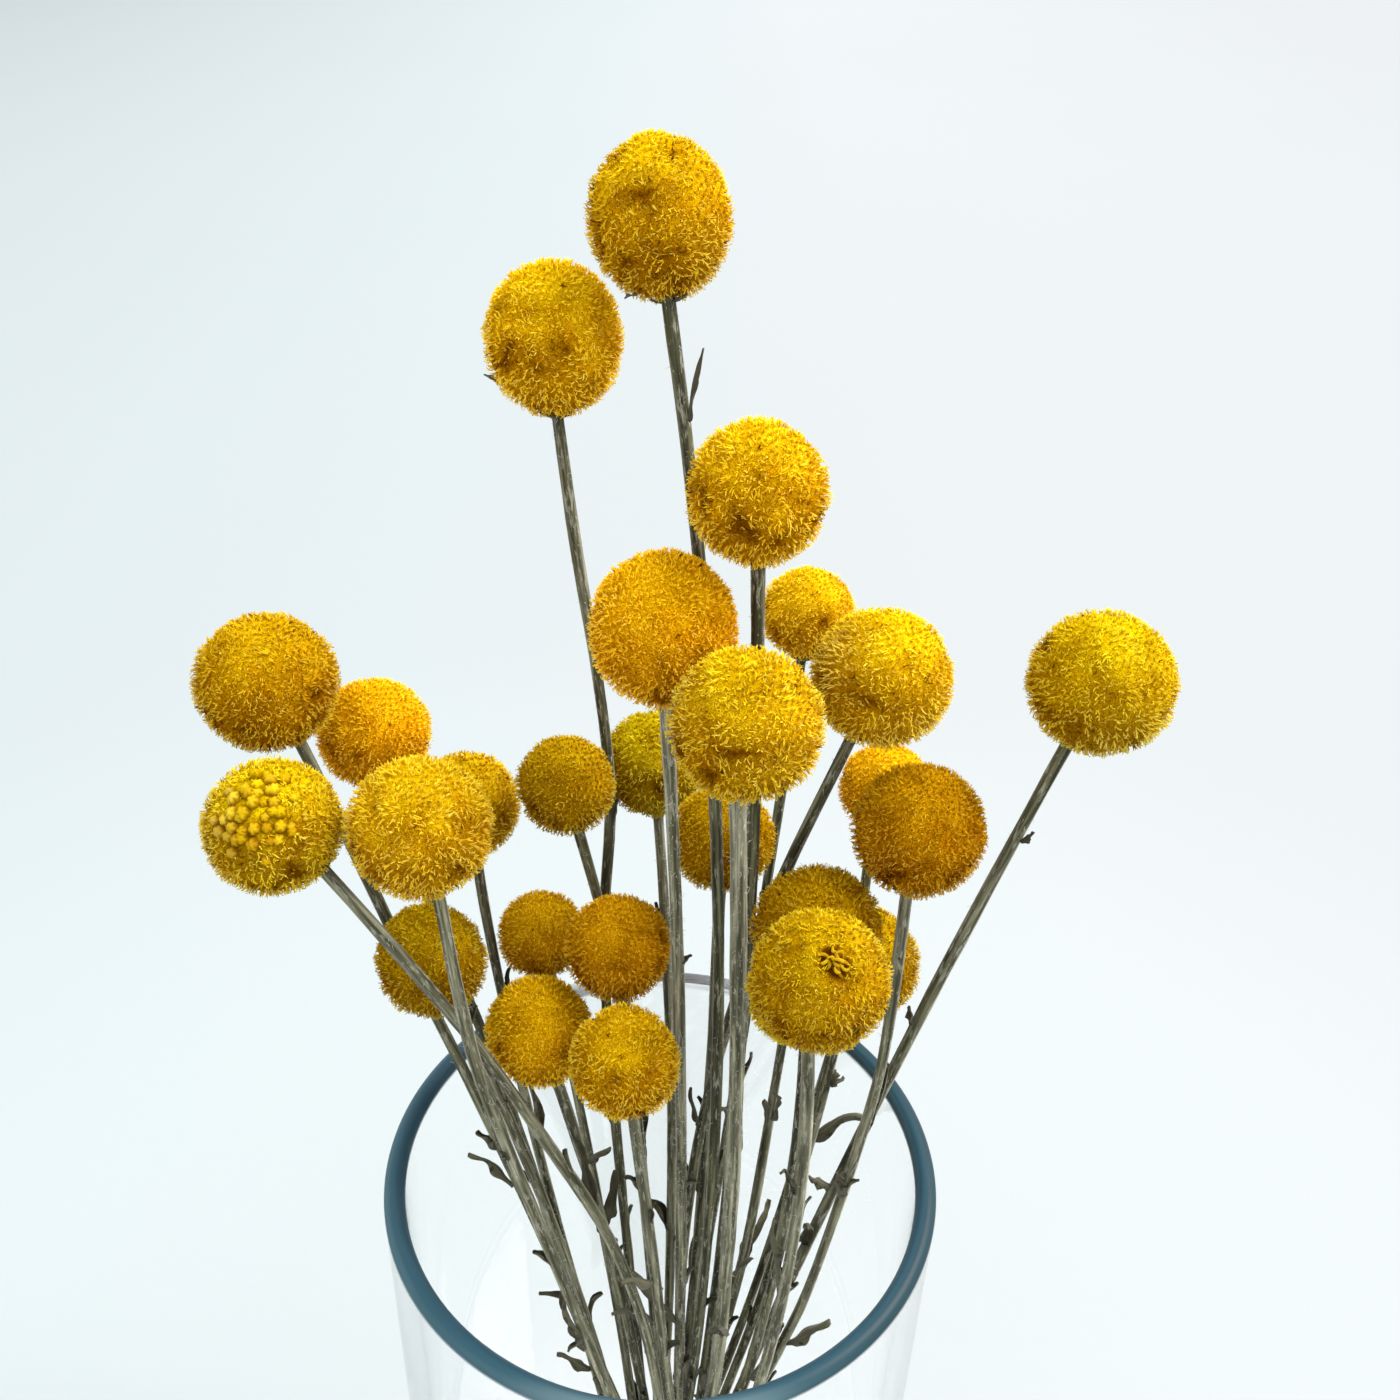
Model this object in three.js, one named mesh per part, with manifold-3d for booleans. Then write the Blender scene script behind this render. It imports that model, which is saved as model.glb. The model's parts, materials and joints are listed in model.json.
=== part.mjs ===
// Dried billy buttons (Craspedia) standing loose in a clear glass cylinder vase.
// Millimetres, +Z up. The origin is the centre of the vase's flat base.
// Every flower is a round head of pointed florets on the tip of its own leafy stem. The stems
// lean outwards from a waist low in the vase, and their feet rest on the vase's floor.

import * as THREE from 'three';
import { ConvexHull } from 'three/addons/math/ConvexHull.js';
import { mergeVertices } from 'three/addons/utils/BufferGeometryUtils.js';
import Module from 'manifold-3d';

// ---- Driving dimensions, mm ----

const VASE = {
  radius: 62,
  height: 200,
  wall: 4.7,
  floor: 8,
  footRound: 3,
  floorRound: 4,
  segments: 48,
};

const GAP = 0.3; // between pieces that touch

// One row for each flower: the head's centre x, y, z, its width and its length along the stem,
// the stem's lean at the head (x and y travel for each unit of height), how far the stem bows
// sideways halfway up, the stem's thickness and the head's shade in SHADES.
const FLOWERS = [
  [-5, 41, 397, 26.5, 29.5, -0.15, 0.3, 2, 2.5, 1],
  [-25, 46, 373, 27, 30, -0.05, 0.15, 0, 2.4, 1],
  [14, 11, 358, 25.5, 26.5, -0.05, 0.05, 0, 2.5, 1],
  [-2, 8, 332, 28, 30, -0.05, 0, 1, 2.6, 2],
  [13, -17, 328, 27, 27, 0.05, -0.1, 7, 3.2, 0],
  [30, 78, 299, 23, 23, 0.1, 0.35, 0, 2.3, 1],
  [40, 17, 318, 28, 27.5, 0.35, 0.05, -2, 2.4, 0],
  [82, 16, 319, 29, 28.5, 0.32, 0.05, 0, 2.6, 0],
  [49, 6, 290, 27, 27, 0.05, 0, 5, 2.4, 2],
  [49, 53, 267, 22, 22, 0.2, 0.3, 4, 2.3, 1],
  [-82, 24, 308, 29, 28.5, -0.4, 0.1, 0, 2.5, 2],
  [-76, -1, 291, 27, 27, -0.8, 0, 0, 2.5, 0],
  [-65, 37, 288, 25, 24.5, -0.3, 0.15, 0, 2.4, 2],
  [-47, -4, 294, 28, 27.5, -0.15, 0, 0, 2.6, 0],
  [-46, 38, 269, 23.5, 24.5, -0.1, 0.1, 0, 2.3, 1],
  [-23, 30, 281, 21.5, 22.5, -0.2, 0, 0, 2.4, 1],
  [-5, 51, 273, 25, 25, -0.1, 0.25, 0, 2.4, 0],
  [11, 29, 269, 23.5, 24.5, 0, 0.15, 0, 2.5, 2],
  [-51, 11, 247, 24, 26, -0.35, 0.05, 0, 2.5, 0],
  [-30, 33, 236, 21, 21, -0.2, 0.2, 0, 2.3, 1],
  [-11, 17, 247, 24, 24, -0.1, 0.1, 0, 2.5, 2],
  [-28, 9, 229, 24, 26, -0.25, 0.05, 0, 2.5, 2],
  [-8, -8, 238, 23.5, 24.5, -0.1, -0.05, 0, 2.5, 1],
  [30, -2, 270, 27, 27, 0.05, 0, 5, 2.5, 1],
  [28, -29, 282, 26, 26, 0.05, -0.15, 7, 2.6, 0],
  [44, 28, 235, 27.5, 27.5, 0.2, 0.1, 4, 2.5, 1],
  [30, 37, 214, 22, 22, 0.15, 0.25, 3, 2.4, 1],
].map(([x, y, z, width, length, leanX, leanY, bow, stem, shade]) => {
  const centre = new THREE.Vector3(x, y, z);
  const lean = new THREE.Vector2(leanX, leanY);
  const axis = new THREE.Vector3(leanX, leanY, 1).normalize();
  return { centre, width, length, lean, axis, bow, stemRadius: stem / 2, shade };
});

const SHADES = [0xd6b21a, 0xdfa80d, 0xd8930a]; // lemon, golden and orange heads
const STEM_COLOUR = 0x7d7a66;
const GLASS_COLOUR = 0xbfd3d8;

const HEAD = {
  points: 2.4, // places that the valleys run through, for each millimetre of the head's width
  valley: 0.84, // depth of the valleys between florets, as a share of the head's radius
  mouthRadius: 1.9, // the socket under the head that takes the stem's tip
  mouthSides: 6,
  socketDepth: 5,
  clearPole: 0.34, // radians round the socket that the florets leave free
};

const STEM = {
  sides: 6,
  step: 30, // height between the shaft's rings
  neck: 1, // the shaft's last full ring, below the head
  tipGap: 0.9, // from the stem's tip to the end of the head's socket
  shortest: 10, // least height between the last two rings
};

// The bunch is narrowest at its waist, where the stems pass each other in a slow turn.
const WAIST = { centre: new THREE.Vector3(8, 2, 48), radius: 10, turn: 0.9 };
const BEND = 2.5; // how late up the stem its lean at the head sets in

// The stems are moved apart, and clear of the heads and the glass, in rounds.
const SETTLE = {
  rounds: 500,
  height: 5, // between the levels at which two stems are compared
  spacing: 0.45, // between two stems
  headSpacing: 0.8, // between a stem and another flower's head
  spread: 0.5,
  pull: 0.08,
};

const LEAF = {
  thickness: 0.7,
  rootWidth: 1.5,
  rootSunk: 0.75, // share of the shaft's radius that the root reaches in
  stations: 4,
  belowHead: 32, // from the head to the highest leaf
  apart: 0.6, // from a leaf to anything that it doesn't grow on
  tries: 80,
  tilt: [0.25, 0.6], // from the shaft at the root, in radians
  curl: [-0.3, 1.5], // added to the tilt by the tip
  twist: [-1.1, 1.1],
  sway: [-0.5, 0.5],
};

// Ordinary leaves: one long leaf low on each stem, and a short one higher up.
const LOW_LEAF = { from: 70, to: 185, length: [15, 25], width: [2.4, 3.8] };
const HIGH_LEAF = { from: 195, to: 340, length: [9, 15], width: [2, 2.8] };

// Leaves that show most, in place of a high leaf: the flower's number, the root's height, the
// turn about the shaft in degrees, length, width, tilt and curl.
const PLAIN_LEAVES = [
  [1, 361, -20, 17, 2.6, 0.12, 0.6],
  [2, 262, 0, 10, 2.2, 0.25, 0.2],
  [4, 250, 0, 6, 2, 0.6, 0.4],
  [6, 238, 180, 14, 2.4, 0.2, 0.3],
  [8, 282, -40, 7, 2.4, 1.1, -0.3],
  [8, 230, 200, 9, 2.6, 0.3, 0.2],
  [8, 178, 190, 7, 3, 0.9, 1.3],
  [9, 200, 10, 18, 2.2, 0.5, -0.7],
  [9, 165, -20, 13, 3.5, 0.5, 0.6],
  [9, 122, -30, 16, 3.5, 0.9, 0.3],
  [11, 183, 170, 9, 3, 0.8, 0.4],
].map(([flower, height, turn, length, width, tilt, curl]) => {
  const azimuth = THREE.MathUtils.degToRad(turn);
  return { flower, height, azimuth, length, width, tilt, curl, twist: 0.6, sway: 0.15 };
});

// ---- Small helpers ----

const wasm = await Module();
wasm.setup();

function seeded(seed) {
  let state = seed;
  return () => {
    state = (state + 0x6d2b79f5) | 0;
    let t = Math.imul(state ^ (state >>> 15), 1 | state);
    t = (t + Math.imul(t ^ (t >>> 7), 61 | t)) ^ t;
    return ((t ^ (t >>> 14)) >>> 0) / 4294967296;
  };
}

const random = seeded(27);
const between = (low, high) => low + (high - low) * random();

function solidOf(geometry) {
  const bare = new THREE.BufferGeometry();
  bare.setAttribute('position', geometry.getAttribute('position'));
  bare.setIndex(geometry.index);
  const merged = mergeVertices(bare, 1e-4);
  return new wasm.Manifold(new wasm.Mesh({
    numProp: 3,
    vertProperties: merged.getAttribute('position').array,
    triVerts: new Uint32Array(merged.index.array),
  }));
}

function geometryOf(solid) {
  const mesh = solid.getMesh();
  const geometry = new THREE.BufferGeometry();
  geometry.setAttribute('position', new THREE.BufferAttribute(mesh.vertProperties, 3));
  geometry.setIndex(new THREE.BufferAttribute(mesh.triVerts, 1));
  return flatShaded(geometry);
}

function flatShaded(geometry) {
  const flat = geometry.toNonIndexed();
  flat.computeVertexNormals();
  return flat;
}

function indexed(points, triangles) {
  const geometry = new THREE.BufferGeometry();
  geometry.setFromPoints(points);
  geometry.setIndex(triangles.flat());
  return geometry;
}

// A closed body through rings with an even number of points each, closed flat at the first
// ring and pointed at the tip. Neighbouring strips are split in mirrored pairs.
function pointedLoft(rings, tip) {
  const sides = rings[0].length;
  const triangles = [];
  for (let side = 1; side < sides - 1; side += 1) {
    triangles.push([0, side + 1, side]);
  }
  for (let ring = 0; ring < rings.length - 1; ring += 1) {
    for (let side = 0; side < sides; side += 1) {
      const next = (side + 1) % sides;
      const [a, b] = [ring * sides + side, ring * sides + next];
      const [c, d] = [a + sides, b + sides];
      if (side % 2 === 0) {
        triangles.push([a, b, d], [a, d, c]);
      } else {
        triangles.push([a, b, c], [b, d, c]);
      }
    }
  }
  const last = (rings.length - 1) * sides;
  for (let side = 0; side < sides; side += 1) {
    triangles.push([last + side, last + ((side + 1) % sides), last + sides]);
  }
  return indexed([...rings.flat(), tip], triangles);
}

// ---- Vase ----

function arc(centreX, centreY, radius, from, to, steps) {
  return Array.from({ length: steps + 1 }, (_, step) => {
    const angle = from + ((to - from) * step) / steps;
    return new THREE.Vector2(
      centreX + radius * Math.cos(angle),
      centreY + radius * Math.sin(angle),
    );
  });
}

function makeVase() {
  const { radius, height, wall, floor, footRound, floorRound, segments } = VASE;
  const rim = wall / 2;
  const profile = [
    new THREE.Vector2(0, 0),
    ...arc(radius - footRound, footRound, footRound, -Math.PI / 2, 0, 2),
    ...arc(radius - rim, height - rim, rim, 0, Math.PI, 4),
    ...arc(radius - wall - floorRound, floor + floorRound, floorRound, 0, -Math.PI / 2, 2),
    new THREE.Vector2(0, floor),
  ];
  const geometry = new THREE.LatheGeometry(profile, segments);
  geometry.rotateX(Math.PI / 2);
  return geometryOf(solidOf(geometry));
}

// ---- Where the stems run ----

// A stem's rings share their heights, so two stems are compared at equal heights.
function firstPath(flower) {
  const { centre, axis, lean, bow, length, turn, slot } = flower;
  const neck = centre.clone().addScaledVector(axis, -(length / 2 + STEM.neck));
  const rise = neck.z - WAIST.centre.z;
  const waist = new THREE.Vector2(
    WAIST.centre.x + slot * Math.cos(turn),
    WAIST.centre.y + slot * Math.sin(turn),
  );
  const chord = new THREE.Vector2(neck.x, neck.y).sub(waist).divideScalar(rise);
  const start = chord.clone().multiplyScalar(BEND).sub(lean).divideScalar(BEND - 1);
  const heights = [VASE.floor + GAP];
  for (let z = STEM.step; z < neck.z - STEM.shortest; z += STEM.step) {
    heights.push(z);
  }
  const path = heights.map((z) => {
    const up = z - WAIST.centre.z;
    const share = Math.max(up / rise, 0);
    const late = (rise * share ** BEND) / BEND;
    const side = 4 * bow * share * (1 - share);
    return new THREE.Vector3(
      waist.x + start.x * up + (lean.x - start.x) * late + side,
      waist.y + start.y * up + (lean.y - start.y) * late,
      z,
    );
  });
  return [...path, neck];
}

// The two rings of a path that a height lies between, and how far it is from the first to the
// second. There are none above the path.
function spanAt(path, z) {
  const above = path.findIndex((point) => point.z >= z);
  if (above < 0) {
    return null;
  }
  const high = Math.max(above, 1);
  const low = high - 1;
  return { low, high, share: (z - path[low].z) / (path[high].z - path[low].z) };
}

function centreAt(path, z) {
  const span = spanAt(path, z);
  return span && path[span.low].clone().lerp(path[span.high], span.share);
}

// Moves the shaft sideways at a height. The neck at the head stays where it is.
function push(path, z, x, y) {
  const { low, high, share } = spanAt(path, z);
  const weights = [[low, 1 - share], [high, share]].filter(([ring]) => ring < path.length - 1);
  weights.forEach(([ring, weight]) => {
    path[ring].x += x * weight;
    path[ring].y += y * weight;
  });
}

// How much wider a leaning shaft is in a level cut, at its steepest.
function leanFactor(path) {
  const slopes = path.slice(1).map((point, ring) => {
    const below = path[ring];
    return Math.hypot(point.x - below.x, point.y - below.y) / (point.z - below.z);
  });
  return Math.hypot(1, Math.max(...slopes));
}

function partStems(a, b, z) {
  const pa = centreAt(a.path, z);
  const pb = centreAt(b.path, z);
  if (!pa || !pb) {
    return;
  }
  const need = a.levelRadius + b.levelRadius + SETTLE.spacing;
  const distance = Math.hypot(pb.x - pa.x, pb.y - pa.y) || 1e-3;
  if (distance < need) {
    const half = (need - distance) / 2 / distance;
    push(a.path, z, (pa.x - pb.x) * half, (pa.y - pb.y) * half);
    push(b.path, z, (pb.x - pa.x) * half, (pb.y - pa.y) * half);
  }
}

function clearHead(stem, head, z) {
  const point = centreAt(stem.path, z);
  const reach = Math.max(head.width, head.length) / 2 + stem.levelRadius + SETTLE.headSpacing;
  const height = z - head.centre.z;
  if (!point || Math.abs(height) >= reach) {
    return;
  }
  const need = Math.sqrt(reach ** 2 - height ** 2);
  const [x, y] = [point.x - head.centre.x, point.y - head.centre.y];
  const distance = Math.hypot(x, y);
  if (distance < need) {
    push(stem.path, z, (x * (need - distance)) / distance, (y * (need - distance)) / distance);
  }
}

function keepInVase(stem, z) {
  const point = centreAt(stem.path, z);
  const corner = Math.max(VASE.floor + VASE.floorRound - z, 0);
  const room = VASE.radius - VASE.wall - corner - stem.levelRadius - GAP * 2;
  const distance = Math.hypot(point.x, point.y);
  if (distance > room) {
    push(stem.path, z, (point.x * (room - distance)) / distance,
      (point.y * (room - distance)) / distance);
  }
}

// Spreads each ring's sideways shift over its neighbours and draws it back towards its first
// place, as a springy stem does.
function springBack(stem, ease) {
  const shifts = stem.path.map((point, ring) => point.clone().sub(stem.first[ring]));
  for (let ring = 0; ring < stem.path.length - 1; ring += 1) {
    const below = shifts[Math.max(ring - 1, 0)];
    const spread = below.clone().add(shifts[ring + 1]).multiplyScalar(0.5).sub(shifts[ring]);
    stem.path[ring].addScaledVector(spread, SETTLE.spread * ease);
    stem.path[ring].addScaledVector(shifts[ring], -SETTLE.pull * ease);
  }
}

function settleStems(flowers) {
  const top = Math.max(...flowers.map(({ path }) => path[path.length - 1].z));
  for (let round = 0; round < SETTLE.rounds; round += 1) {
    const ease = 1 - round / SETTLE.rounds;
    flowers.forEach((flower) => {
      springBack(flower, ease);
      flower.levelRadius = flower.stemRadius * leanFactor(flower.path);
    });
    for (let z = VASE.floor + GAP; z < top; z += SETTLE.height) {
      flowers.forEach((a, i) => {
        flowers.slice(i + 1).forEach((b) => partStems(a, b, z));
        flowers.filter((b) => b !== a).forEach((b) => clearHead(a, b, z));
        if (z < VASE.height) {
          keepInVase(a, z);
        }
      });
    }
  }
}

// The steeper a flower leans, the further out its slot at the waist.
function placeStems(flowers) {
  const reach = ({ centre }) => {
    return Math.hypot(centre.x - WAIST.centre.x, centre.y - WAIST.centre.y) / centre.z;
  };
  const order = [...flowers].sort((a, b) => reach(a) - reach(b));
  order.forEach((flower, rank) => {
    const { x, y } = flower.centre;
    flower.slot = WAIST.radius * Math.sqrt((rank + 0.5) / flowers.length);
    flower.turn = Math.atan2(y - WAIST.centre.y, x - WAIST.centre.x) + WAIST.turn;
    flower.path = firstPath(flower);
    flower.first = flower.path.map((point) => point.clone());
  });
  settleStems(flowers);
}

// ---- Stems and their leaves ----

// Level rings: a leaning round shaft cut level is longer along its lean.
function shaftRing(path, ring, radius) {
  const from = path[Math.max(ring - 1, 0)];
  const to = path[Math.min(ring + 1, path.length - 1)];
  const slope = new THREE.Vector2(to.x - from.x, to.y - from.y).divideScalar(to.z - from.z);
  const stretch = Math.hypot(1, slope.length()) - 1;
  const direction = slope.lengthSq() > 0 ? slope.normalize() : slope;
  return Array.from({ length: STEM.sides }, (_, side) => {
    const angle = (2 * Math.PI * side) / STEM.sides;
    const [x, y] = [radius * Math.cos(angle), radius * Math.sin(angle)];
    const along = (x * direction.x + y * direction.y) * stretch;
    return new THREE.Vector3(
      path[ring].x + x + along * direction.x,
      path[ring].y + y + along * direction.y,
      path[ring].z,
    );
  });
}

function makeShaft({ centre, axis, length, path, stemRadius }) {
  const rings = path.map((_, ring) => shaftRing(path, ring, stemRadius));
  const inside = (HEAD.valley * length) / 2 - HEAD.socketDepth + STEM.tipGap;
  const tip = centre.clone().addScaledVector(axis, -inside);
  return pointedLoft(rings, tip);
}

// A dried leaf leaves the shaft upwards and curls away from it. Its spine is a list of centres
// with the blade's half width and its two cross directions.
function leafSpine(flower, leaf) {
  const { path, stemRadius } = flower;
  const root = centreAt(path, leaf.height);
  const out = new THREE.Vector3(Math.cos(leaf.azimuth), Math.sin(leaf.azimuth), 0);
  const side = new THREE.Vector3(-out.y, out.x, 0);
  const step = leaf.length / LEAF.stations;
  const point = root.clone().addScaledVector(out, stemRadius * (1 - LEAF.rootSunk));
  const spine = [];
  for (let station = 0; station <= LEAF.stations; station += 1) {
    const share = station / LEAF.stations;
    const tilt = leaf.tilt + leaf.curl * share;
    const ahead = new THREE.Vector3(0, 0, Math.cos(tilt)).addScaledVector(out, Math.sin(tilt));
    const twist = leaf.twist * share;
    const flat = out.clone().multiplyScalar(-Math.cos(tilt));
    flat.z = Math.sin(tilt);
    const wide = side.clone().multiplyScalar(Math.cos(twist));
    wide.addScaledVector(flat, Math.sin(twist));
    const thick = ahead.clone().cross(wide);
    const belly = Math.sin(Math.PI * share ** 0.8);
    const width = Math.max(leaf.width * belly, LEAF.rootWidth * (1 - share));
    spine.push({ point: point.clone(), wide, thick, half: width / 2 });
    point.addScaledVector(ahead, step);
    point.addScaledVector(side, leaf.sway * step * share);
  }
  return spine;
}

function makeLeaf(spine) {
  const rings = spine.slice(0, -1).map(({ point, wide, thick, half }) => [
    point.clone().addScaledVector(wide, half),
    point.clone().addScaledVector(thick, LEAF.thickness / 2),
    point.clone().addScaledVector(wide, -half),
    point.clone().addScaledVector(thick, -LEAF.thickness / 2),
  ]);
  return pointedLoft(rings, spine[spine.length - 1].point);
}

// Points along a leaf, close enough together to test its room.
function leafProbes(spine) {
  return spine.slice(1).flatMap((station, i) => [0, 0.5, 1].map((share) => ({
    point: spine[i].point.clone().lerp(station.point, share),
    half: Math.max(spine[i].half, station.half),
    root: i === 0,
  })));
}

function hasRoom(flower, probes, flowers, grown) {
  const inside = VASE.radius - VASE.wall;
  return probes.every(({ point, half, root }) => {
    const clear = half + LEAF.apart;
    const fromAxis = Math.hypot(point.x, point.y);
    const offRim = Math.abs(fromAxis - VASE.radius + VASE.wall / 2) > VASE.wall / 2 + clear;
    const walled = point.z > VASE.height + clear ? true : offRim && fromAxis < inside;
    const offStems = flowers.every((other) => {
      const beside = centreAt(other.path, point.z);
      const own = other === flower;
      const need = own ? other.levelRadius * 0.5 : other.levelRadius + clear;
      return !beside || (own && root) || beside.distanceTo(point) > need;
    });
    const offHeads = flowers.every((other) => {
      return other.centre.distanceTo(point) > Math.max(other.width, other.length) / 2 + clear;
    });
    const offLeaves = grown.every((leaf) => leaf.every((probe) => {
      return probe.point.distanceTo(point) > probe.half + clear;
    }));
    return walled && offStems && offHeads && offLeaves;
  });
}

function drawLeaf({ from, to, length, width }, flower) {
  const neck = flower.path[flower.path.length - 1];
  return {
    height: between(from, Math.min(to, neck.z - LEAF.belowHead)),
    azimuth: between(0, 2 * Math.PI),
    length: between(...length),
    width: between(...width),
    tilt: between(...LEAF.tilt),
    curl: between(...LEAF.curl),
    twist: between(...LEAF.twist),
    sway: between(...LEAF.sway),
  };
}

// The first of some random leaves that has room, if any has.
function growLeaf(zone, flower, flowers, grown) {
  for (let tries = 0; tries < LEAF.tries; tries += 1) {
    const spine = leafSpine(flower, drawLeaf(zone, flower));
    const probes = leafProbes(spine);
    if (hasRoom(flower, probes, flowers, grown)) {
      grown.push(probes);
      return [spine];
    }
  }
  return [];
}

function growLeaves(flowers) {
  const grown = [];
  flowers.forEach((flower, i) => {
    const plain = PLAIN_LEAVES.filter((leaf) => leaf.flower === i + 1);
    flower.spines = plain.map((leaf) => leafSpine(flower, leaf));
    grown.push(...flower.spines.map(leafProbes));
  });
  flowers.forEach((flower) => {
    const zones = flower.spines.length > 0 ? [LOW_LEAF] : [LOW_LEAF, HIGH_LEAF];
    const more = zones.flatMap((zone) => growLeaf(zone, flower, flowers, grown));
    flower.spines.push(...more);
  });
}

function makeStem(flower) {
  const parts = [makeShaft(flower), ...flower.spines.map(makeLeaf)];
  return geometryOf(parts.map(solidOf).reduce((whole, leaf) => whole.add(leaf)));
}

// ---- Heads ----

// Even places on a ball in a sunflower spiral, from the top down to the socket's surround.
function ballPoints(count, clearPole) {
  const golden = Math.PI * (3 - Math.sqrt(5));
  const lowest = -Math.cos(clearPole);
  return Array.from({ length: count }, (_, i) => {
    const z = 1 + ((lowest - 1) * i) / (count - 1);
    const out = Math.sqrt(1 - z ** 2);
    return new THREE.Vector3(out * Math.cos(golden * i), out * Math.sin(golden * i), z);
  });
}

function socketRing(angle) {
  return Array.from({ length: HEAD.mouthSides }, (_, i) => {
    const turn = (2 * Math.PI * i) / HEAD.mouthSides;
    return new THREE.Vector3().setFromSphericalCoords(1, Math.PI - angle, turn)
      .applyAxisAngle(new THREE.Vector3(1, 0, 0), Math.PI / 2);
  });
}

// The florets are three-sided points over the whole ball. Their valleys run between spiral
// places, and the socket for the stem's tip opens at the bottom.
function makeHead({ width, length, shade }) {
  const size = new THREE.Vector3(width / 2, width / 2, length / 2);
  const mouth = Math.asin(HEAD.mouthRadius / ((HEAD.valley * width) / 2));
  const points = Math.round(HEAD.points * width);
  const pole = new THREE.Vector3(0, 0, -1);
  const places = [...ballPoints(points, HEAD.clearPole + mouth), ...socketRing(mouth), pole];
  const vertices = places.map((place) => place.clone().multiplyScalar(HEAD.valley).multiply(size));
  vertices[places.length - 1].z += HEAD.socketDepth;
  const number = new Map(places.map((place, i) => [place, i]));
  const triangles = [];
  new ConvexHull().setFromPoints(places).faces.forEach((face) => {
    const corners = [face.edge, face.edge.next, face.edge.next.next].map((edge) => {
      return number.get(edge.head().point);
    });
    if (corners.includes(places.length - 1)) {
      triangles.push(corners);
      return;
    }
    const middle = corners.reduce((sum, i) => sum.add(places[i]), new THREE.Vector3());
    vertices.push(middle.normalize().multiply(size));
    corners.forEach((corner, i) => {
      triangles.push([corner, corners[(i + 1) % 3], vertices.length - 1]);
    });
  });
  return flatShaded(indexed(vertices, triangles));
}

// ---- The whole part ----

const part = new THREE.Group();

function addNode(name, geometry, look) {
  const mesh = new THREE.Mesh(geometry, new THREE.MeshStandardMaterial(look));
  mesh.name = name;
  part.add(mesh);
  return mesh;
}

addNode('vase', makeVase(), {
  color: GLASS_COLOUR,
  roughness: 0.05,
  metalness: 0,
  transparent: true,
  opacity: 0.35,
});

placeStems(FLOWERS);
growLeaves(FLOWERS);
const up = new THREE.Vector3(0, 0, 1);
FLOWERS.forEach((flower, i) => {
  const number = String(i + 1).padStart(2, '0');
  addNode(`stem_${number}`, makeStem(flower), {
    color: STEM_COLOUR,
    roughness: 0.9,
    metalness: 0,
  });
  const head = addNode(`head_${number}`, makeHead(flower), {
    color: SHADES[flower.shade],
    roughness: 0.95,
    metalness: 0,
  });
  head.position.copy(flower.centre);
  head.quaternion.setFromUnitVectors(up, flower.axis);
});

export default part;
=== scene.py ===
"""Dried billy buttons in a clear glass vase: the looks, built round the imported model.

Every head becomes a ball of small lobed florets, every stem a ribbed, felted shaft with its
dried leaves, and the vase a smooth glass cylinder. Sizes are millimetres until a mesh is made.
"""

import json
import math

import bmesh
import bpy
import numpy as np
from mathutils import Matrix, Vector, noise

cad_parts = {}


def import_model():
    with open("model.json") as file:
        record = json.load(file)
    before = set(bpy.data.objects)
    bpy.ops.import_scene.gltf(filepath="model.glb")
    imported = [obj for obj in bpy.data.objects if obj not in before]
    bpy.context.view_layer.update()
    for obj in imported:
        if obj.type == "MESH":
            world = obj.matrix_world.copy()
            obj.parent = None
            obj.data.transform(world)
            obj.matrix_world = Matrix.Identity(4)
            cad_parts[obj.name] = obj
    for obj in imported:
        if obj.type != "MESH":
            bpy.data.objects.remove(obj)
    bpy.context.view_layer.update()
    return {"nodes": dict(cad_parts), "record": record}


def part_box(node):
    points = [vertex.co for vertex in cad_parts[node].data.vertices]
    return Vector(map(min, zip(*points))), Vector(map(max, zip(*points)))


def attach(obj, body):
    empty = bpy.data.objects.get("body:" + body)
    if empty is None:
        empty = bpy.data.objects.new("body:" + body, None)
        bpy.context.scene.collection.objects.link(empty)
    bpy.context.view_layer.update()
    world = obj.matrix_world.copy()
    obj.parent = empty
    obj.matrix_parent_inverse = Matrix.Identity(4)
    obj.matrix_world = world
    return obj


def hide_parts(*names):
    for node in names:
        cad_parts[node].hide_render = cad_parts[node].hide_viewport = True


# ---- Sizes, mm ----

MM = 0.001
SEED = 27
BODY = "root"
FLOWERS = 27

CAMERA_AT = (5.1, -215.6, 455.1)
CAMERA_DOWN = math.radians(31.7)
CAMERA_ROLL = math.radians(1.94)
CAMERA_LENS = 36  # on a sensor as wide, so the frame is as wide as it is far

WALL = 4.7
VASE_FLOOR = 8
FOOT_ROUND = 3
FLOOR_ROUND = 4
VASE_SEGMENTS = 160
RIM_DEPTH = 3.0  # how far down from the top the rim looks tinted

SPACING = 1.5  # between florets
SCATTER = 0.14  # of their places, as a share of the spacing
SPECKS = 0.004  # share of florets that have shrunk to a dark speck
BRISTLES = 4  # thin upright lobes to a young floret
CURLS = 2  # long curled lobes to an old floret, beside one upright one
TUBE = 1.6  # from a floret's root to its mouth
BRISTLE_WIDTH = 0.33
BRISTLE_FLATNESS = 0.7
BRISTLE_REACH = (0.25, 0.95)  # from the floret's middle out to the lobe's tip
CURL_WIDTH = 0.135  # half of it
CURL_REACH = (0.4, 0.9)
CURL_BEND = (0.1, 0.8)  # how far a lobe curls aside, as a share of its reach
LEAN = 1.5  # how far tufts of florets lean one way
LUMP = 0.45  # how far they stand out
CORE_DEPTH = 0.95  # from the florets' mouths down to the head's core
NECK_BARE = 0.11  # radians round the stem that the florets leave free
BRACTS = 5  # under each head
SOFTNESS = 0.35  # how much a floret is shaded like the ball that it stands on
GLOW = 0.25  # share of the light that goes through a floret

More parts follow.
